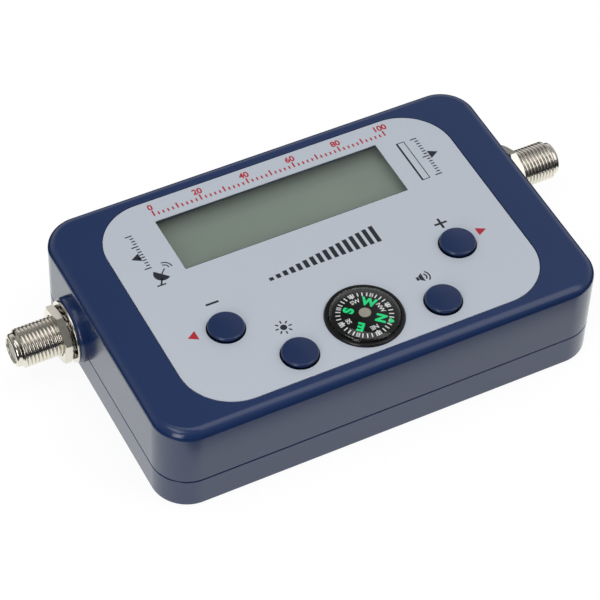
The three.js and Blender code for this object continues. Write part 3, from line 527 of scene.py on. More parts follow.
def bottomShell():
    shell = boxedPiece("bottomShell", case, [
        *roundBase(0, case["baseRound"], 6), (0, case["parting"] - case["bevel"]),
        (case["bevel"], case["parting"])], case["steps"])
    carve(hollowed(shell), [
        halfBoss(-1, False), halfBoss(1, False), tongue(),
        *rods(posts["radius"], case["floor"] - case["seam"], posts["split"], postPlaces, 48)], "UNION")
    return soften(carve(shell, [
        portRod(port["hole"], case["length"] / 2 + port["left"] + over),
        *rods(posts["sleeveHole"], -over, posts["split"] + over, postPlaces, 32),
        *rods(posts["pocket"], -over, posts["pocketDepth"], postPlaces, 48)]))


dress(topShell(), "case", "case_plastic", "case", "top_case")
dress(bottomShell(), "case", "case_plastic", "case", "bottom_case")
print("case shells made")


def faceFilm():
    low, high = label["low"] - over, label["top"] + over
    sheet = boxedPiece("faceFilm", label, [
        (0, label["low"]), (0, label["top"] - label["edge"]), (label["edge"], label["top"])], case["steps"])
    return soften(carve(sheet, [
        windowBox("hole", 0, low, high), *rods(compass["hole"], low, high, [compassPlace], 128),
        *rods(keys["hole"], low, high, keyPlaces.values(), 96)]))


dress(faceFilm(), "case", "label_film", "film", "face_label")
print("face film made")


# A flanged plate under the face, with a raised middle that fills the opening of the film.
def displayWindow():
    plate = windowBox("displayWindow", window["margin"], window["low"], window["seat"])
    middle = boxedPiece("middle", windowSizes(-window["play"]), [
        (0, window["low"] + window["step"]), (0, label["top"] - window["edge"]),
        (window["edge"], label["top"])], 4)
    return soften(carve(plate, [middle], "UNION"))


# Two sheets of glass with the polariser on top, each a little smaller than the one below.
glass = {"length": 66.85, "width": 23.15, "corner": 1.3, "x": window["x"], "y": window["y"],
         "levels": [(0, 21.4), (0, 22.45), (0.3, 22.45), (0.3, 23.4), (0.9, 23.4), (0.9, 23.6)]}

dress(displayWindow(), "case", "clear_plastic", "clear", "display_window")
displayGlass = soften(boxedPiece("displayGlass", glass, glass["levels"], 6))
dress(displayGlass, "case", "display_glass", "display", "display_glass")
print("display made")


# A round key with a stem, a flange under the case and a crown that rises a little to its middle.
def keyCap(name, spot):
    flat, rise = keys["radius"] - keys["edge"], keys["crown"] - keys["sideTop"]
    crown = [(flat - reach, keys["sideTop"] + rise * (1 - (1 - reach / flat) ** 2))
             for reach in keys["crownRings"]]
    piece = turnedPiece(name, [
        (0, keys["stemLow"]), (keys["stem"], keys["stemLow"]), (keys["stem"], keys["flangeLow"]),
        (keys["flange"], keys["flangeLow"]), (keys["flange"], keys["flangeTop"]),
        (keys["foot"], keys["flangeTop"]), (keys["foot"], keys["footTop"]),
        *turnedTop(keys["radius"], keys["sideTop"], keys["edge"], 12), *crown, (0, keys["crown"])], 96)
    return soften(put(piece, *spot, 0))


for keyName, spot in keyPlaces.items():
    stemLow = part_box(f"{keyName}_key")[0][2] / mm
    dress(keyCap(f"{keyName}Key", spot), f"{keyName}_button", "key_plastic", "key", f"{keyName}_key")
print("keys made; stems start at", round(stemLow, 3))


def atCompass(piece):
    return put(piece, *compassPlace, 0)


def compassPiece(name, profile, steps=144, sharpAngle=28):
    return soften(atCompass(turnedPiece(name, profile, steps)), sharpAngle)


def compassCup():
    low, seat, top, edge = compass["low"], compass["seat"], compass["rimTop"], compass["rimEdge"]
    inner, bore = compass["radius"] - compass["rimWidth"], compass["bore"]
    floor, curve = low + compass["floor"], compass["floorRound"]
    return compassPiece("compassCup", [
        (0, low), *turnedBase(compass["radius"], low, compass["rimRound"]),
        *turnedTop(compass["radius"], top, compass["rimRound"]), (inner + edge, top), (inner, top - edge),
        (inner, seat), (bore, seat), (bore, floor + curve), (bore - curve, floor), (0, floor)])


dome = {"radius": 8.65, "foot": 25.4, "rim": 26.9, "crown": 28.3, "inner": 7.95, "under": 26.26,
        "capRoom": 1.75, "capRoof": 27.6, "fullness": 2.1, "rings": 24, "facing": 0.5, "footRoom": 0.1}


# The clear dome and the oil under it bend light alike, so they are one clear body over the card.
def compassDome():
    shoulder, power = [], 2 / dome["fullness"]
    for ring in range(1, dome["rings"]):
        turn = math.pi / 2 * ring / dome["rings"]
        shoulder.append((dome["radius"] * math.cos(turn) ** power,
                         dome["rim"] + (dome["crown"] - dome["rim"]) * math.sin(turn) ** power))
    return compassPiece("compassDome", [
        (0, dome["capRoof"]), (dome["capRoom"], dome["capRoof"]), (dome["capRoom"], dome["under"]),
        (dome["inner"], dome["under"]), (dome["inner"], dome["foot"]), (dome["radius"], dome["foot"]),
        (dome["radius"], dome["rim"]), *shoulder, (0, dome["crown"])], sharpAngle=40)


card = {"radius": 7.6, "low": 25.8, "top": 26.2, "hole": 0.7, "edge": 0.05}
cap = {"radius": 1.5, "low": 26.25, "top": 27.5, "under": 26.8, "bore": 0.6, "edge": 0.12, "dip": 0.9,
       "dipSlope": 0.1, "dipDepth": 0.05, "shoulder": 0.15, "slack": 0.05, "collarTop": 27.34,
       "collarBore": 0.65, "collarEdge": 0.18, "collarFoot": 0.05, "collarGap": 0.01}


def compassCard():
    radius, low, top, edge = card["radius"], card["low"], card["top"], card["edge"]
    return compassPiece("compassCard", [
        (card["hole"], low), (radius - edge, low), (radius, low + edge), (radius, top - edge),
        (radius - edge, top), (card["hole"], top), (card["hole"], low)])


def cardCap():
    return compassPiece("cardCap", [
        (0, cap["under"]), (cap["bore"], cap["under"]), (cap["bore"], cap["collarTop"]),
        (cap["radius"] - cap["shoulder"], cap["collarTop"]),
        *turnedTop(cap["radius"] - cap["slack"], cap["top"], cap["edge"], 4),
        (cap["dip"], cap["top"]), (cap["dip"] - cap["dipSlope"], cap["top"] - cap["dipDepth"]),
        (0, cap["top"] - cap["dipDepth"])], 72)


# The bright metal foot of the cap, which the light catches on its upper edge.
def capCollar():
    bore, top = cap["collarBore"], cap["collarTop"] - cap["collarGap"]
    return compassPiece("capCollar", [
        (bore, cap["low"]), *turnedBase(cap["radius"], cap["low"], cap["collarFoot"], 2),
        *turnedTop(cap["radius"], top, cap["collarEdge"], 4), (bore, top), (bore, cap["low"])], 72)


# Thickness of the print on the face film and on the compass card, and how far lines overlap at a bend.
ink = {"film": 0.015, "card": 0.02, "lapShare": 0.3}


# Flat ink shapes, each a list of points anticlockwise, as thin plates on a surface at the height given.
def inkPlate(name, shapes, height, thickness=ink["film"]):
    return stackedPiece(name, *[[(shape, height), (shape, height + thickness)] for shape in shapes])


# The four-sided pieces of a line of ink through the points given.
def inkLine(points, width):
    shapes = []
    for (x0, y0), (x1, y1) in zip(points, points[1:]):
        length = math.hypot(x1 - x0, y1 - y0)
        dx, dy = (x1 - x0) / length * width / 2, (y1 - y0) / length * width / 2
        endX, endY = dx * ink["lapShare"], dy * ink["lapShare"]
        shapes.append([(x0 + dy - endX, y0 - dx - endY), (x1 + dy + endX, y1 - dx + endY),
                       (x1 - dy + endX, y1 + dx + endY), (x0 - dy - endX, y0 + dx - endY)])
    return shapes


def inkArc(middle, radius, start, end, width, steps=14):
    turns = [math.radians(start + (end - start) * step / steps) for step in range(steps + 1)]
    return inkLine([polar(radius, turn, middle) for turn in turns], width)


# Letters or numbers as a plain mesh, centred, then turned and put in place.
def inkText(words, size, spot, turn, height, thicken=0.0, thickness=ink["film"]):
    curve = bpy.data.curves.new("words", "FONT")
    curve.body, curve.size = words, size
    curve.align_x, curve.align_y = "CENTER", "CENTER"
    curve.offset = thicken
    curve.extrude = thickness / 2
    holder = addObject("words", curve)
    mesh = plainMesh(holder)
    bpy.data.objects.remove(holder)
    bpy.data.curves.remove(curve)
    centre = []
    for axis in (0, 1):
        places = [vertex.co[axis] for vertex in mesh.vertices]
        centre.append((min(places) + max(places)) / 2)
    mesh.transform(Matrix.Scale(mm, 4) @ Matrix.Translation((-centre[0], -centre[1], 0)))
    return put(addObject("words", mesh), *spot, height + thickness / 2, turn)


# A new tree with a named input for each size, or for a material where the size is a text. Gives the tree, the
# function that adds nodes to it and the node of its inputs.
def newTree(name, sizes):
    tree = bpy.data.node_groups.new(name, "GeometryNodeTree")
    tree.interface.new_socket("Geometry", in_out="INPUT", socket_type="NodeSocketGeometry")
    kinds = {int: "NodeSocketInt", float: "NodeSocketFloat", str: "NodeSocketMaterial"}
    for size, value in sizes.items():
        socket = tree.interface.new_socket(size, in_out="INPUT", socket_type=kinds[type(value)])
        if not isinstance(value, str):
            socket.default_value = value
    tree.interface.new_socket("Geometry", in_out="OUTPUT", socket_type="NodeSocketGeometry")
    return tree, partial(addNode, tree), tree.nodes.new("NodeGroupInput").outputs


def closeTree(tree, given, geometry):
    add = partial(addNode, tree)
    real = add("GeometryNodeRealizeInstances", {"Geometry": geometry})
    coated = add("GeometryNodeSetMaterial", {"Geometry": real, "Material": given["Finish"]})
    add("NodeGroupOutput", {0: coated})
    return tree


# Runs a tree on a piece with the values given and keeps the result as a plain mesh.
def grow(piece, tree, values):
    change = piece.modifiers.new(tree.name, "NODES")
    change.node_group = tree
    for item in tree.interface.items_tree:
        if item.in_out == "INPUT" and item.name in values:
            change[item.identifier] = values[item.name]
    return settle(piece)


# A ring of flat bars, such as the ticks of the compass card or the teeth of a washer.
def barRing():
    tree, add, given = newTree("barRing", {
        "Count": 36, "Radius": 6.5, "Length": 1.2, "Width": 0.3, "Thickness": 0.02, "Height": 0.0,
        "First Turn": 0.0, "Twist": 0.0, "Finish": ""})
    size = add("CombineXYZ", {"X": given["Length"], "Y": given["Width"], "Z": given["Thickness"]})
    bar = add("GeometryNodeMeshCube", {"Size": size})
    ring = add("GeometryNodeMeshCircle", {"Vertices": given["Count"], "Radius": given["Radius"]})
    index = add("GeometryNodeInputIndex")
    share = add("Math", {"operation": "DIVIDE", 0: index, 1: given["Count"]})
    turn = add("Math", {"operation": "MULTIPLY", 0: share, 1: 2 * math.pi})
    angles = add("CombineXYZ", {"X": given["Twist"], "Z": turn})
    bars = add("GeometryNodeInstanceOnPoints", {"Points": ring, "Instance": bar, "Rotation": angles})
    lift = add("CombineXYZ", {"Z": given["Height"]})
    swing = add("CombineXYZ", {"Z": given["First Turn"]})
    return closeTree(tree, given, add("GeometryNodeTransform", {
        "Geometry": bars, "Translation": lift, "Rotation": swing}))


# A straight row of bars, every so many of them long, that can also grow along the row.
def barRow():
    tree, add, given = newTree("barRow", {
        "Count": 51, "Step": 1.0, "Width": 0.25, "Short": 1.0, "Long": 2.0, "Every": 5, "Growth": 0.0,
        "Thickness": 0.015, "Finish": ""})
    step = add("CombineXYZ", {"X": given["Step"]})
    row = add("GeometryNodeMeshLine", {"mode": "OFFSET", "Count": given["Count"], "Offset": step})
    index = add("GeometryNodeInputIndex")
    rest = add("Math", {"operation": "FLOORED_MODULO", 0: index, 1: given["Every"]})
    isLong = add("Math", {"operation": "LESS_THAN", 0: rest, 1: 0.5})
    reach = add("Mix", {"data_type": "FLOAT", 0: isLong, 2: given["Short"], 3: given["Long"]})
    grown = add("Math", {"operation": "MULTIPLY_ADD", 0: index, 1: given["Growth"], 2: reach})
    size = add("CombineXYZ", {"X": given["Width"], "Y": grown, "Z": given["Thickness"]})
    unit = add("GeometryNodeMeshCube", {"Size": (1, 1, 1)})
    onBase = add("GeometryNodeTransform", {"Translation": (0, 0.5, 0.5), "Geometry": unit})
    return closeTree(tree, given, add("GeometryNodeInstanceOnPoints", {
        "Points": row, "Instance": onBase, "Scale": size}))


# The piece's own mesh at the four corners of a rectangle, each turned by chance.
def fourCorners():
    tree, add, given = newTree("fourCorners", {"Span X": 0.1, "Span Y": 0.05, "Seed": 4, "Finish": ""})
    grid = add("GeometryNodeMeshGrid", {
        "Vertices X": 2, "Vertices Y": 2, "Size X": given["Span X"], "Size Y": given["Span Y"]})
    chance = add("FunctionNodeRandomValue", {
        "data_type": "FLOAT", 2: 0.0, 3: 1.5, "Seed": given["Seed"]})
    angles = add("CombineXYZ", {"Z": chance.outputs[1]})
    return closeTree(tree, given, add("GeometryNodeInstanceOnPoints", {
        "Points": grid, "Instance": given["Geometry"], "Rotation": angles}))


barRingTree, barRowTree, cornersTree = barRing(), barRow(), fourCorners()
print("node trees made")


# A ring of bars between two radii in millimetres. The turns are in degrees.
def ringOfBars(finish, count, inner, outer, width, thickness, height, firstTurn=0.0, twist=0.0):
    return grow(newPiece("ring", [(0, 0, 0)], []), barRingTree, {
        "Count": count, "Radius": (inner + outer) / 2 * mm, "Length": (outer - inner) * mm,
        "Width": width * mm, "Thickness": thickness * mm, "Height": (height + thickness / 2) * mm,
        "First Turn": math.radians(firstTurn), "Twist": math.radians(twist), "Finish": finishes[finish]})


# Places of the card's print are radii, and north is its bearing in degrees from +X.
cardPrint = {"north": -42, "tickInner": 5.7, "tickOuter": 6.85, "tick": 0.3, "wideTick": 0.85,
             "halfTick": 0.5, "halfStart": 0.4, "arrowTip": 0.35, "arrowBase": 0.45, "arrowHalf": 0.65,
             "markTip": 7.2, "markBase": 6.0, "markHalf": 0.9}
cardWords = {  # size, radius, thickening, and bearings from north
    "between": (1.6, 4.4, 0.03, {"NE": -45, "SE": -135, "SW": 135, "NW": 45}),
    "letters": (3.3, 3.95, 0.17, {"N": 0, "E": -90, "S": 180, "W": 90}),
}


def cardText(kind):
    size, reach, thicken, bearings = cardWords[kind]
    turns = {words: cardPrint["north"] + turn for words, turn in bearings.items()}
    return [inkText(words, size, polar(reach, math.radians(turn)), turn - 90, card["top"], thicken,
                    ink["card"]) for words, turn in turns.items()]


def compassPrint():
    north, top, thick = cardPrint["north"], card["top"], ink["card"]
    inner, outer = cardPrint["tickInner"], cardPrint["tickOuter"]
    halfStart, halfTick = inner + cardPrint["halfStart"], cardPrint["halfTick"]
    ticks = [ringOfBars("whiteInk", 36, inner, outer, cardPrint["tick"], thick, top, north),
             ringOfBars("whiteInk", 4, inner, outer, cardPrint["wideTick"], thick, top, north),
             ringOfBars("whiteInk", 4, halfStart, outer, halfTick, thick, top, north + 45)]
    tip, base, half = inner - cardPrint["arrowTip"], inner + cardPrint["arrowBase"], cardPrint["arrowHalf"]
    arrows = []
    for quarter in range(4):
        turn = math.radians(north + 45 + 90 * quarter)
        arrows.append([polar(tip, turn), polar(base, turn, aside=-half), polar(base, turn, aside=half)])
    whites = [*ticks, inkPlate("arrows", arrows, top, thick), *cardText("between")]
    turn, base, half = math.radians(north), cardPrint["markBase"], cardPrint["markHalf"]
    marker = inkPlate("marker", [[polar(cardPrint["markTip"], turn), polar(base, turn, aside=half),
                                  polar(base, turn, aside=-half)]], top + thick, thick)
    return gather("cardWhitePrint", whites), gather("cardGreenPrint", [*cardText("letters"), marker])


whitePrint, greenPrint = compassPrint()
dress(compassCup(), "case", "compass_black", "compass", "compass_cup")
clearDome = dress(compassDome(), "case", "clear_plastic", "clear", "compass_dome")
clearDome.data.materials.append(finishes["liquid"])
for face in clearDome.data.polygons:
    outwards = Vector((face.center.x, face.center.y - compass["y"] * mm, 0)).normalized()
    isRoof = face.normal.z < -dome["facing"] and face.center.z / mm > dome["foot"] + dome["footRoom"]
    if isRoof or face.normal.dot(outwards) < -dome["facing"]:
        face.material_index = 1
dress(compassCard(), "compass_rose", "compass_card", "card", "compass_card")
dress(cardCap(), "compass_rose", "cap_grey", "cap", "compass_cap")
dress(capCollar(), "compass_rose", "nickel", "nickel")
dress(atCompass(whitePrint), "compass_rose", "compass_card", "whiteInk")
dress(atCompass(greenPrint), "compass_rose", "compass_card", "greenInk")
print("compass made")


# Print on the face film. A row of bars has its start and its turn in degrees, then count, step, width, short
# and long length, how many bars to a long one, and growth from bar to bar.
marks = {
    "height": 26.398, "numberRise": 3.0, "numberSize": 2.5, "numberThicken": 0.08,
    "scale": ((-31.0, 28.4), 0, (51, 1.28, 0.42, 1.0, 1.8, 5, 0.0)),
    "strength": ((-14.6, -2.9), 0, (16, 1.95, 1.15, 1.0, 1.0, 1, 0.3)),
    "leftTicks": ((-38.9, 13.4), 90, (13, 0.95, 0.34, 1.0, 1.8, 4, 0.0)),
    "rightTicks": ((39.6, 11.0), 90, (15, 0.95, 0.34, 1.0, 1.8, 7, 0.0)),
    "redArrows": [[(-38.4, -12.1), (-38.4, -9.2), (-40.8, -10.7)],
                  [(37.6, -11.6), (40.1, -10.3), (37.6, -9.0)]],
    "blackArrows": [[(-40.0, 16.2), (-40.0, 18.9), (-42.3, 17.55)],
                    [(39.8, 16.5), (42.2, 17.9), (39.8, 19.2)]],
    # Points and width of each line: a strip with its frame, a minus, and a plus in three pieces.
    "lines": [([(34.1, 10.8), (34.1, 24.5)], 0.5),
              ([(34.1, 24.5), (36.1, 24.5), (36.1, 10.8), (34.1, 10.8)], 0.22),
              ([(-32.4, -3.2), (-29.2, -3.2)], 0.6), ([(29.3, -4.0), (32.5, -4.0)], 0.6),
              ([(30.9, -5.6), (30.9, -4.3)], 0.6), ([(30.9, -3.7), (30.9, -2.4)], 0.6)],
}
# The signs have their middles in the same frame, and all other points are counted from those.
signs = {
    "lamp": (-18.9, -17.3), "bulb": 0.85, "rays": 8, "rayEnds": (1.35, 2.1), "rayWidth": 0.36,
    "sound": (18.6, -17.6), "magnet": [(-1.9, -0.55), (-1.2, -0.55), (-1.2, 0.55), (-1.9, 0.55)],
    "cone": [(-1.1, -0.6), (-0.1, -1.4), (-0.1, 1.4), (-1.1, 0.6)],
    "soundFrom": (-0.3, 0), "soundWaves": (1.1, 1.9), "soundAngle": 48, "soundWidth": 0.34,
    "dish": (-37.6, 10.4), "bowl": 2.1, "bowlStart": 135, "stem": [(-0.6, -1.4), (-1.6, -3.2)],
    "foot": [(-2.6, -3.2), (-0.4, -3.2)], "standWidth": 0.4, "arm": [(0, 0), (1.3, 1.3)],
    "dishWaves": (1.2, 2.0), "armWidth": 0.3,
}


def rowOfBars(finish, which):
    spot, turn, (count, step, width, short, long, every, growth) = marks[which]
    row = grow(newPiece("row", [(0, 0, 0)], []), barRowTree, {
        "Count": count, "Step": step * mm, "Width": width * mm, "Short": short * mm, "Long": long * mm,
        "Every": every, "Growth": growth * mm, "Thickness": ink["film"] * mm, "Finish": finishes[finish]})
    return put(row, *spot, marks["height"], turn)


def redMarks():
    (startX, y), turn, (count, step, *rest) = marks["scale"]
    numbers = []
    for index in range(count // 10 + 1):
        spot = (startX + step * 10 * index, y + marks["numberRise"])
        numbers.append(inkText(str(20 * index), marks["numberSize"], spot, turn, marks["height"],
                               marks["numberThicken"]))
    return gather("redMarks", [rowOfBars("redInk", "scale"), *numbers,
                               inkPlate("arrows", marks["redArrows"], marks["height"])])


def shifted(points, middle):
    return [(middle[0] + x, middle[1] + y) for x, y in points]


# A lamp with rays over one key and a speaker with waves over the other.
def keySigns():
    lamp, sound = signs["lamp"], signs["sound"]
    shapes = [circleOutline(signs["bulb"], 24, lamp)]
    for ray in range(signs["rays"]):
        turn = 2 * math.pi / signs["rays"] * ray
        shapes += inkLine([polar(reach, turn, lamp) for reach in signs["rayEnds"]], signs["rayWidth"])
    shapes += [shifted(signs["magnet"], sound), shifted(signs["cone"], sound)]
    source, = shifted([signs["soundFrom"]], sound)
    for radius in signs["soundWaves"]:
        shapes += inkArc(source, radius, -signs["soundAngle"], signs["soundAngle"], signs["soundWidth"])
    return shapes


# A small dish on its foot, with an arm and two waves at its end.
def dishSign():
    middle = signs["dish"]
    shapes = [[polar(signs["bowl"], math.radians(signs["bowlStart"] + 10 * step), middle)
               for step in range(19)]]
    shapes += inkLine(shifted(signs["stem"], middle), signs["standWidth"])
    shapes += inkLine(shifted(signs["foot"], middle), signs["standWidth"])
    arm = shifted(signs["arm"], middle)
    shapes += inkLine(arm, signs["armWidth"])
    for radius in signs["dishWaves"]:
        shapes += inkArc(arm[1], radius, 0, 90, signs["armWidth"], 8)
    return shapes


def blackMarks():
    shapes = list(marks["blackArrows"])
    for points, width in marks["lines"]:
        shapes += inkLine(points, width)
    plates = inkPlate("plates", shapes + keySigns() + dishSign(), marks["height"])
    return gather("blackMarks", [
        *[rowOfBars("blackInk", which) for which in ("strength", "leftTicks", "rightTicks")], plates])


dress(redMarks(), "case", "label_film", "redInk")
dress(blackMarks(), "case", "label_film", "blackInk")
print("marks made")


# Heights of a port are counted outwards from the outer face of its inner flange.
shell = {"flange": 6.5, "flangeBack": -1.5, "tail": 4.5, "tailBack": -6.1, "tailEdge": 0.2, "crest": 5.0,
         "groove": 0.4, "pitch": 0.95, "nose": 4.25, "bore": 3.05, "boreEdge": 0.25, "threadStart": 5.75,
         "threadEnd": 18.0, "runOut": 0.6, "noseStart": 0.15, "noseEnd": 19.3, "noseEdge": 0.8,
         "columns": 72, "rowsPerPitch": 14, "sharpAngle": 50}
insulator = {"bore": 0.5, "radius": 3.0, "edge": 0.1, "back": 0.5, "mouth": 0.3}
pin = {"start": 46.55, "radius": 0.45, "back": 0.9, "edge": 0.08, "bore": 0.25, "mouth": 0.3,
       "mouthEdge": 0.1, "deep": 5, "slot": 0.05, "slotDeep": 4}
seats = {"left": (-1, 56.5), "right": (1, 55.45)}  # side and place of that face along X
washer = {"low": 4.55, "thick": 0.55, "radius": 7.9, "edge": 0.2, "baseEdge": 0.05, "hole": 5.15}
lock = {"low": 5.15, "thick": 0.65, "radius": 6.9, "root": 5.9, "teeth": 16, "share": 0.58,
        "toothThick": 0.32, "relief": 0.08, "lap": 0.1, "firstTurn": 11, "twist": 9}
nut = {"low": 5.85, "thick": 2.1, "flats": 12.7, "chamfer": 0.35, "lean": 1.2, "blunt": 0.996,
       "slope": 0.1, "spare": 0.3, "mouth": 0.2, "turn": {"left": -10, "right": 4}}


# The radius of the skin along one turn at this height. Its crests are round and follow the helix.
def threadReach(height):
    fade = min(1, (shell["threadEnd"] - height) / shell["runOut"])

    def reach(share):
        phase = (height / shell["pitch"] - share) % 1
        full = shell["crest"] - shell["groove"] * abs(2 * phase - 1) ** 4
        return shell["nose"] + (full - shell["nose"]) * fade
    return reach


# The barrel has a true helical thread: a turned skin whose radius follows the helix.
def portShell(name):
    flange, tail, bore, edge = shell["flange"], shell["tail"], shell["bore"], shell["tailEdge"]
    back, end = shell["tailBack"], shell["noseEnd"]
    start, length = shell["threadStart"], shell["threadEnd"] - shell["threadStart"]
    count = round(length / shell["pitch"] * shell["rowsPerPitch"])
    heights = [start + length / count * (row + 1) for row in range(count)]
    levels = [(bore, back), (tail - edge, back), (tail, back + edge), (tail, shell["flangeBack"]),
              (flange, shell["flangeBack"]), (flange, 0), (shell["crest"], 0), (shell["crest"], start),
              *[(threadReach(height), height) for height in heights],
              (shell["nose"], shell["threadEnd"] + shell["noseStart"]),
              *turnedTop(shell["nose"], end, shell["noseEdge"], 6),
              (bore + shell["boreEdge"], end), (bore, end - shell["boreEdge"])]
    return turnedPiece(name, levels + levels[:1], shell["columns"])


def portInsulator(name):
    bore, radius, edge, mouth = (insulator[size] for size in ("bore", "radius", "edge", "mouth"))
    low, front = shell["tailBack"], shell["noseEnd"] - insulator["back"]
    return turnedPiece(name, [
        (bore, low), (radius - edge, low), (radius, low + edge), (radius, front - edge),
        (radius - edge, front), (bore + mouth, front), (bore, front - mouth), (bore, low)], 72)


# The spring contact is a small tube, split where it grips the pin of the plug.
def portContact(name, seat):
    low, front = pin["start"] - seat, shell["noseEnd"] - pin["back"]
    tube = turnedPiece(name, [
        (0, low), (pin["radius"], low), *turnedTop(pin["radius"], front, pin["edge"], 3),
        (pin["mouth"], front), (pin["bore"], front - pin["mouthEdge"]), (pin["bore"], front - pin["deep"]),
        (0, front - pin["deep"])], 32)
    slot, start, end = pin["slot"], front - pin["slotDeep"], front + over
    return carve(tube, [block((-over, -slot, start), (over, slot, end)),
                        block((-slot, -over, start), (slot, over, end))])


def flatWasher(name):
    hole, low, edge = washer["hole"], washer["low"], washer["baseEdge"]
    high = low + washer["thick"]
    return turnedPiece(name, [
        (hole, low), *turnedBase(washer["radius"], low, edge, 2),
        *turnedTop(washer["radius"], high, washer["edge"], 5), (hole + edge, high), (hole, high - edge),
        (hole, low)], 144)


# A lock washer with twisted teeth round its rim.
def toothedWasher(name):
    low, high = lock["low"] + lock["relief"], lock["low"] + lock["thick"] - lock["relief"]
    hole, outer = washer["hole"], lock["root"] + lock["lap"]
    ring = turnedPiece("ring", [(hole, low), (outer, low), (outer, high), (hole, high), (hole, low)], 96)
    teeth = ringOfBars("zinc", lock["teeth"], lock["root"] - lock["lap"], lock["radius"],
                       2 * math.pi * lock["radius"] / lock["teeth"] * lock["share"], lock["toothThick"],
                       (low + high - lock["toothThick"]) / 2, lock["firstTurn"], lock["twist"])
    return gather(name, [ring, teeth])


# A hexagonal nut with blunted edges, whose corners are turned down at both faces.
def hexNut(name, turn):
    low, high, hole = nut["low"], nut["low"] + nut["thick"], washer["hole"]
    outline = []
    for index in range(6):
        for lean in (-nut["lean"], 0, nut["lean"]):
            reach = nut["flats"] / 2 / math.cos(math.radians(30 - abs(lean)))
            bearing = math.radians(turn + 60 * index + lean)
            outline.append(polar(reach * (1 if lean else nut["blunt"]), bearing))
    corner = nut["flats"] / 2 / math.cos(math.pi / 6)
    face, side = corner - 2 * nut["chamfer"], corner + nut["spare"]
    slope = nut["chamfer"] + nut["slope"]
    blank = turnedPiece("blank", [
        (0, low), (face, low), (side, low + slope), (side, high - slope), (face, high), (0, high)], 144)
    mouth, wide = nut["mouth"], hole + over + nut["mouth"]
    drill = turnedPiece("drill", [
        (0, low - over), (wide, low - over), (hole, low + mouth), (hole, high - mouth),
        (wide, high + over), (0, high + over)], 96)
    solid = stackedPiece(name, [(outline, low), (outline, high)])
    return carve(carve(solid, [blank], "INTERSECT"), [drill])


for portName, (side, seat) in seats.items():
    pieces = [
        (portShell(f"{portName}PortShell"), "nickel", "nickel", "port_shell"),
        (portInsulator(f"{portName}Insulator"), "white_insulator", "insulator", "port_insulator"),
        (portContact(f"{portName}Contact", seat), "brass", "brass", "port_contact"),
        (flatWasher(f"{portName}FlatWasher"), "nickel", "nickel", "flat_washer"),
        (toothedWasher(f"{portName}ToothedWasher"), "zinc_steel", "zinc", "toothed_washer"),
        (hexNut(f"{portName}HexNut", nut["turn"][portName]), "nickel", "nickel", "hex_nut")]
    for piece, slot, finish, node in pieces:
        alongPort(piece, side, seat)
        piece = soften(piece, shell["sharpAngle"]) if node == "port_shell" else soften(piece)
        dress(piece, "case", slot, finish, f"{portName}_{node}")
print("ports made")


# Pan-head screws that point up, with a crossed slot under the head. The shares are of the head's sizes.
screws = {
    "case": {"shank": 1.3, "length": 13.5, "head": 2.5, "headHeight": 1.6, "seat": 2.95},
    "board": {"shank": 1.1, "length": 6.6, "head": 2.1, "headHeight": 1.4, "seat": 11.1},
}
headShares = {"round": 0.45, "slot": 0.6, "slotWidth": 0.14, "slotBottom": 0.7, "slotTop": 0.45}
headRim = 0.05


def screw(shank, length, head, headHeight):
    piece = turnedPiece("screw", [
        (0, -headHeight), *turnedBase(head, -headHeight, headHeight * headShares["round"], 5),
        (head, -headRim), (head - headRim, 0), (shank, 0), (shank, length - shank), (0, length)], 40)
    long, short = head * headShares["slot"], head * headShares["slotWidth"]
    slots = []
    for sizeX, sizeY in ((long, short), (short, long)):
        wide = [(-sizeX, -sizeY), (sizeX, -sizeY), (sizeX, sizeY), (-sizeX, sizeY)]
        tight = [(x * headShares["slotBottom"], y * headShares["slotBottom"]) for x, y in wide]
        slots.append(stackedPiece("slot", [
            (wide, -headHeight - over), (wide, -headHeight), (tight, -headHeight * headShares["slotTop"])]))
    return soften(carve(piece, slots))


def screwSet(kind, spanX, spanY, middleY):
    sizes = dict(screws[kind])
    seat = sizes.pop("seat")
    one = grow(screw(**sizes), cornersTree, {
        "Span X": spanX * mm, "Span Y": spanY * mm, "Seed": 4, "Finish": finishes["zinc"]})
    one.name = one.data.name = f"{kind}Screws"
    dress(put(one, 0, middleY, seat), "case", "zinc_steel", "zinc",
          *[f"{kind}_screw_{index}" for index in range(1, 5)])


screwSet("case", 2 * posts["x"], 2 * posts["y"], 0)
screwSet("board", 2 * standoffs["x"], standoffs["back"] - standoffs["front"],
         (standoffs["back"] + standoffs["front"]) / 2)
print("screws made")


# These CAD pieces keep their shape and only get a finish.
inside = {
    "display_bezel": "blackSteel", "display_backlight": "guide", "display_board": "board",
    "display_header": "moulding", "main_board": "board", "processor_chip": "moulding", "tuner_shield": "tin",
    "voltage_regulator": "moulding", "clock_crystal": "tin", "sound_buzzer": "moulding", "capacitor_1": "can",
    "capacitor_2": "can", "compass_pivot": "brass",
}
for keyName in keyPlaces:
    inside[f"{keyName}_plunger"] = "moulding"
    inside[f"{keyName}_switch"] = "tin"
for nodeName, finish in inside.items():
    mesh = cadNodes[nodeName].data
    mesh.materials.clear()
    mesh.materials.append(finishes[finish])
print("inside pieces dressed:", len(inside))


# Lengths of the stage are in metres. A lamp has its place, the way of its long side, its size and its power.
stage = {
    "floorReach": 6.0, "floorDrop": 0.02, "glow": 0.9, "poolX": 0.088, "poolY": 0.052, "poolEdge": 0.005,
    "lamps": {
        "stripLamp": ((0.325, -0.25, 0.85), (0.56, -0.83, 0), (1.7, 0.42), 3.0),
        "keyLamp": ((-0.62, -0.54, 0.26), (0, 0, 1), (0.52, 0.3), 2.2),
        "fillLamp": ((-0.42, -0.16, 0.9), (0, 1, 0), (0.5, 0.3), 1.25),
    },
}


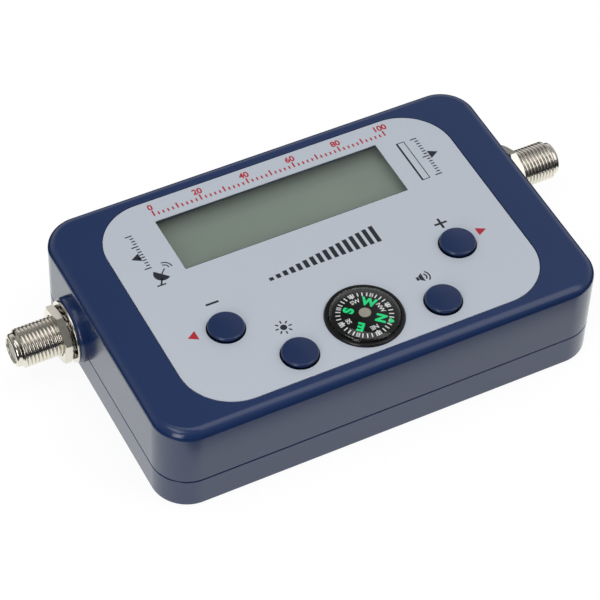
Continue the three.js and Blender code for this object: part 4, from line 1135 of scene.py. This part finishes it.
# Sight sees this floor white, with the shadow kept. Reflections see it white in a pool round the object and
# nearly black further out, as a small white table in a dim room. Soft light meets a dull grey.
def floorFinish():
    material, add = newMaterial("paleFloor")
    path = add("LightPath").outputs
    glossy = path["Is Glossy Ray"]
    seen = add("Math", {
        "operation": "MAXIMUM", 0: path["Is Camera Ray"], 1: path["Is Transmission Ray"]})
    split = add("SeparateXYZ", {0: add("TexCoord").outputs["Object"]})
    outside = []
    for axis, reach in (("X", stage["poolX"]), ("Y", stage["poolY"])):
        size = add("Math", {"operation": "ABSOLUTE", 0: split.outputs[axis]})
        outside.append(add("Math", {"operation": "SUBTRACT", 0: size, 1: reach}))
    far = add("Math", {"operation": "MAXIMUM", 0: outside[0], 1: outside[1]})
    pool = add("MapRange", {
        "interpolation_type": "SMOOTHSTEP", "From Min": 0.0, "From Max": stage["poolEdge"],
        "To Min": 1.0, "To Max": 0.0, "Value": far})
    mirrored = add("Math", {"operation": "MULTIPLY", 0: glossy, 1: pool})
    white = add("Math", {"operation": "MAXIMUM", 0: seen, 1: mirrored})
    matt = add("BsdfDiffuse", {"Color": (0.2, 0.2, 0.2, 1)})
    dim = add("BsdfDiffuse", {"Color": (0.03, 0.03, 0.03, 1)})
    pale = add("Mix", {
        "data_type": "RGBA", 0: glossy, 6: (0.16, 0.16, 0.16, 1), 7: (0.55, 0.59, 0.53, 1)})
    lit = add("BsdfDiffuse", {"Color": pale.outputs[2]})
    glow = add("Emission", {"Strength": stage["glow"]})
    both = add("AddShader", {0: glow, 1: lit})
    dark = add("MixShader", {0: glossy, 1: matt, 2: dim})
    return closeMaterial(material, add("MixShader", {0: white, 1: dark, 2: both}))


reach = stage["floorReach"] / mm
floor = newPiece("floor", [(x * reach, y * reach, -stage["floorDrop"])
                           for x, y in ((-1, -1), (1, -1), (1, 1), (-1, 1))], [(0, 1, 2, 3)])
floor.data.materials.append(floorFinish())


# A lamp that faces the object, with its long side the way given.
def softLamp(name, spot, along, size, power):
    lamp = bpy.data.lights.new(name, "AREA")
    lamp.shape, lamp.size, lamp.size_y, lamp.energy = "RECTANGLE", size[0], size[1], power
    away = Vector(spot).normalized()
    side = (Vector(along) - away * away.dot(Vector(along))).normalized()
    turn = Matrix((side, away.cross(side), away)).transposed().to_4x4()
    addObject(name, lamp).matrix_world = Matrix.Translation(spot) @ turn


for lampName, lampSizes in stage["lamps"].items():
    softLamp(lampName, *lampSizes)


# The room is white to sight, also through clear pieces unless they look up. All else sees it palest behind
# and to the right of the object, nearly black in front, and dim overhead with paler sides.
def studioWorld():
    world = bpy.data.worlds.new("studio")
    world.use_nodes = True
    world.node_tree.nodes.clear()
    add = partial(addNode, world.node_tree)
    split = add("SeparateXYZ", {0: add("TexCoord").outputs["Generated"]}).outputs
    behind = add("Math", {"operation": "MULTIPLY_ADD", 0: split["X"], 1: 0.6, 2: split["Y"]})
    horizon = add("MapRange", {
        "From Min": -1.0, "From Max": 1.0, "To Min": 0.03, "To Max": 0.84, "Value": behind})
    high = add("MapRange", {
        "interpolation_type": "SMOOTHSTEP", "From Min": 0.42, "From Max": 0.7, "To Min": 0.0, "To Max": 1.0,
        "Value": split["Z"]})
    toRight = add("MapRange", {
        "From Min": 0.24, "From Max": 0.42, "To Min": 0.16, "To Max": 0.44, "Value": split["X"]})
    toLeft = add("MapRange", {
        "From Min": 0.2, "From Max": -0.3, "To Min": 0.16, "To Max": 0.3, "Value": split["X"]})
    overhead = add("Math", {"operation": "MAXIMUM", 0: toRight, 1: toLeft})
    level = add("Mix", {"data_type": "FLOAT", 0: high, 2: horizon, 3: overhead})
    path = add("LightPath").outputs
    low = add("Math", {"operation": "SUBTRACT", 0: 1.0, 1: high})
    through = add("Math", {"operation": "MULTIPLY", 0: path["Is Transmission Ray"], 1: low})
    seen = add("Math", {"operation": "MAXIMUM", 0: path["Is Camera Ray"], 1: through})
    room = add("Background", {"Color": (1, 1, 1, 1), "Strength": level})
    white = add("Background", {"Color": (1, 1, 1, 1), "Strength": 1.0})
    add("OutputWorld", {"Surface": add("MixShader", {0: seen, 1: room, 2: white})})
    bpy.context.scene.world = world


studioWorld()
bpy.context.scene.view_settings.view_transform = "Standard"

camera = bpy.data.cameras.new("camera")
camera.lens, camera.sensor_width, camera.shift_x = 160.28, 36, 0.0009
camera.clip_start, camera.clip_end = 0.05, 30
cameraPlace = (-0.21496, -0.37856, 0.50388)
right, up, back = (0.88986, -0.45533, 0.02869), (0.32538, 0.67746, 0.65968), (-0.31981, -0.57769, 0.751)
cameraHolder = addObject("camera", camera)
cameraHolder.matrix_world = Matrix.Translation(cameraPlace) @ Matrix((right, up, back)).transposed().to_4x4()
bpy.context.scene.camera = cameraHolder
print("stage, lamps and camera made")
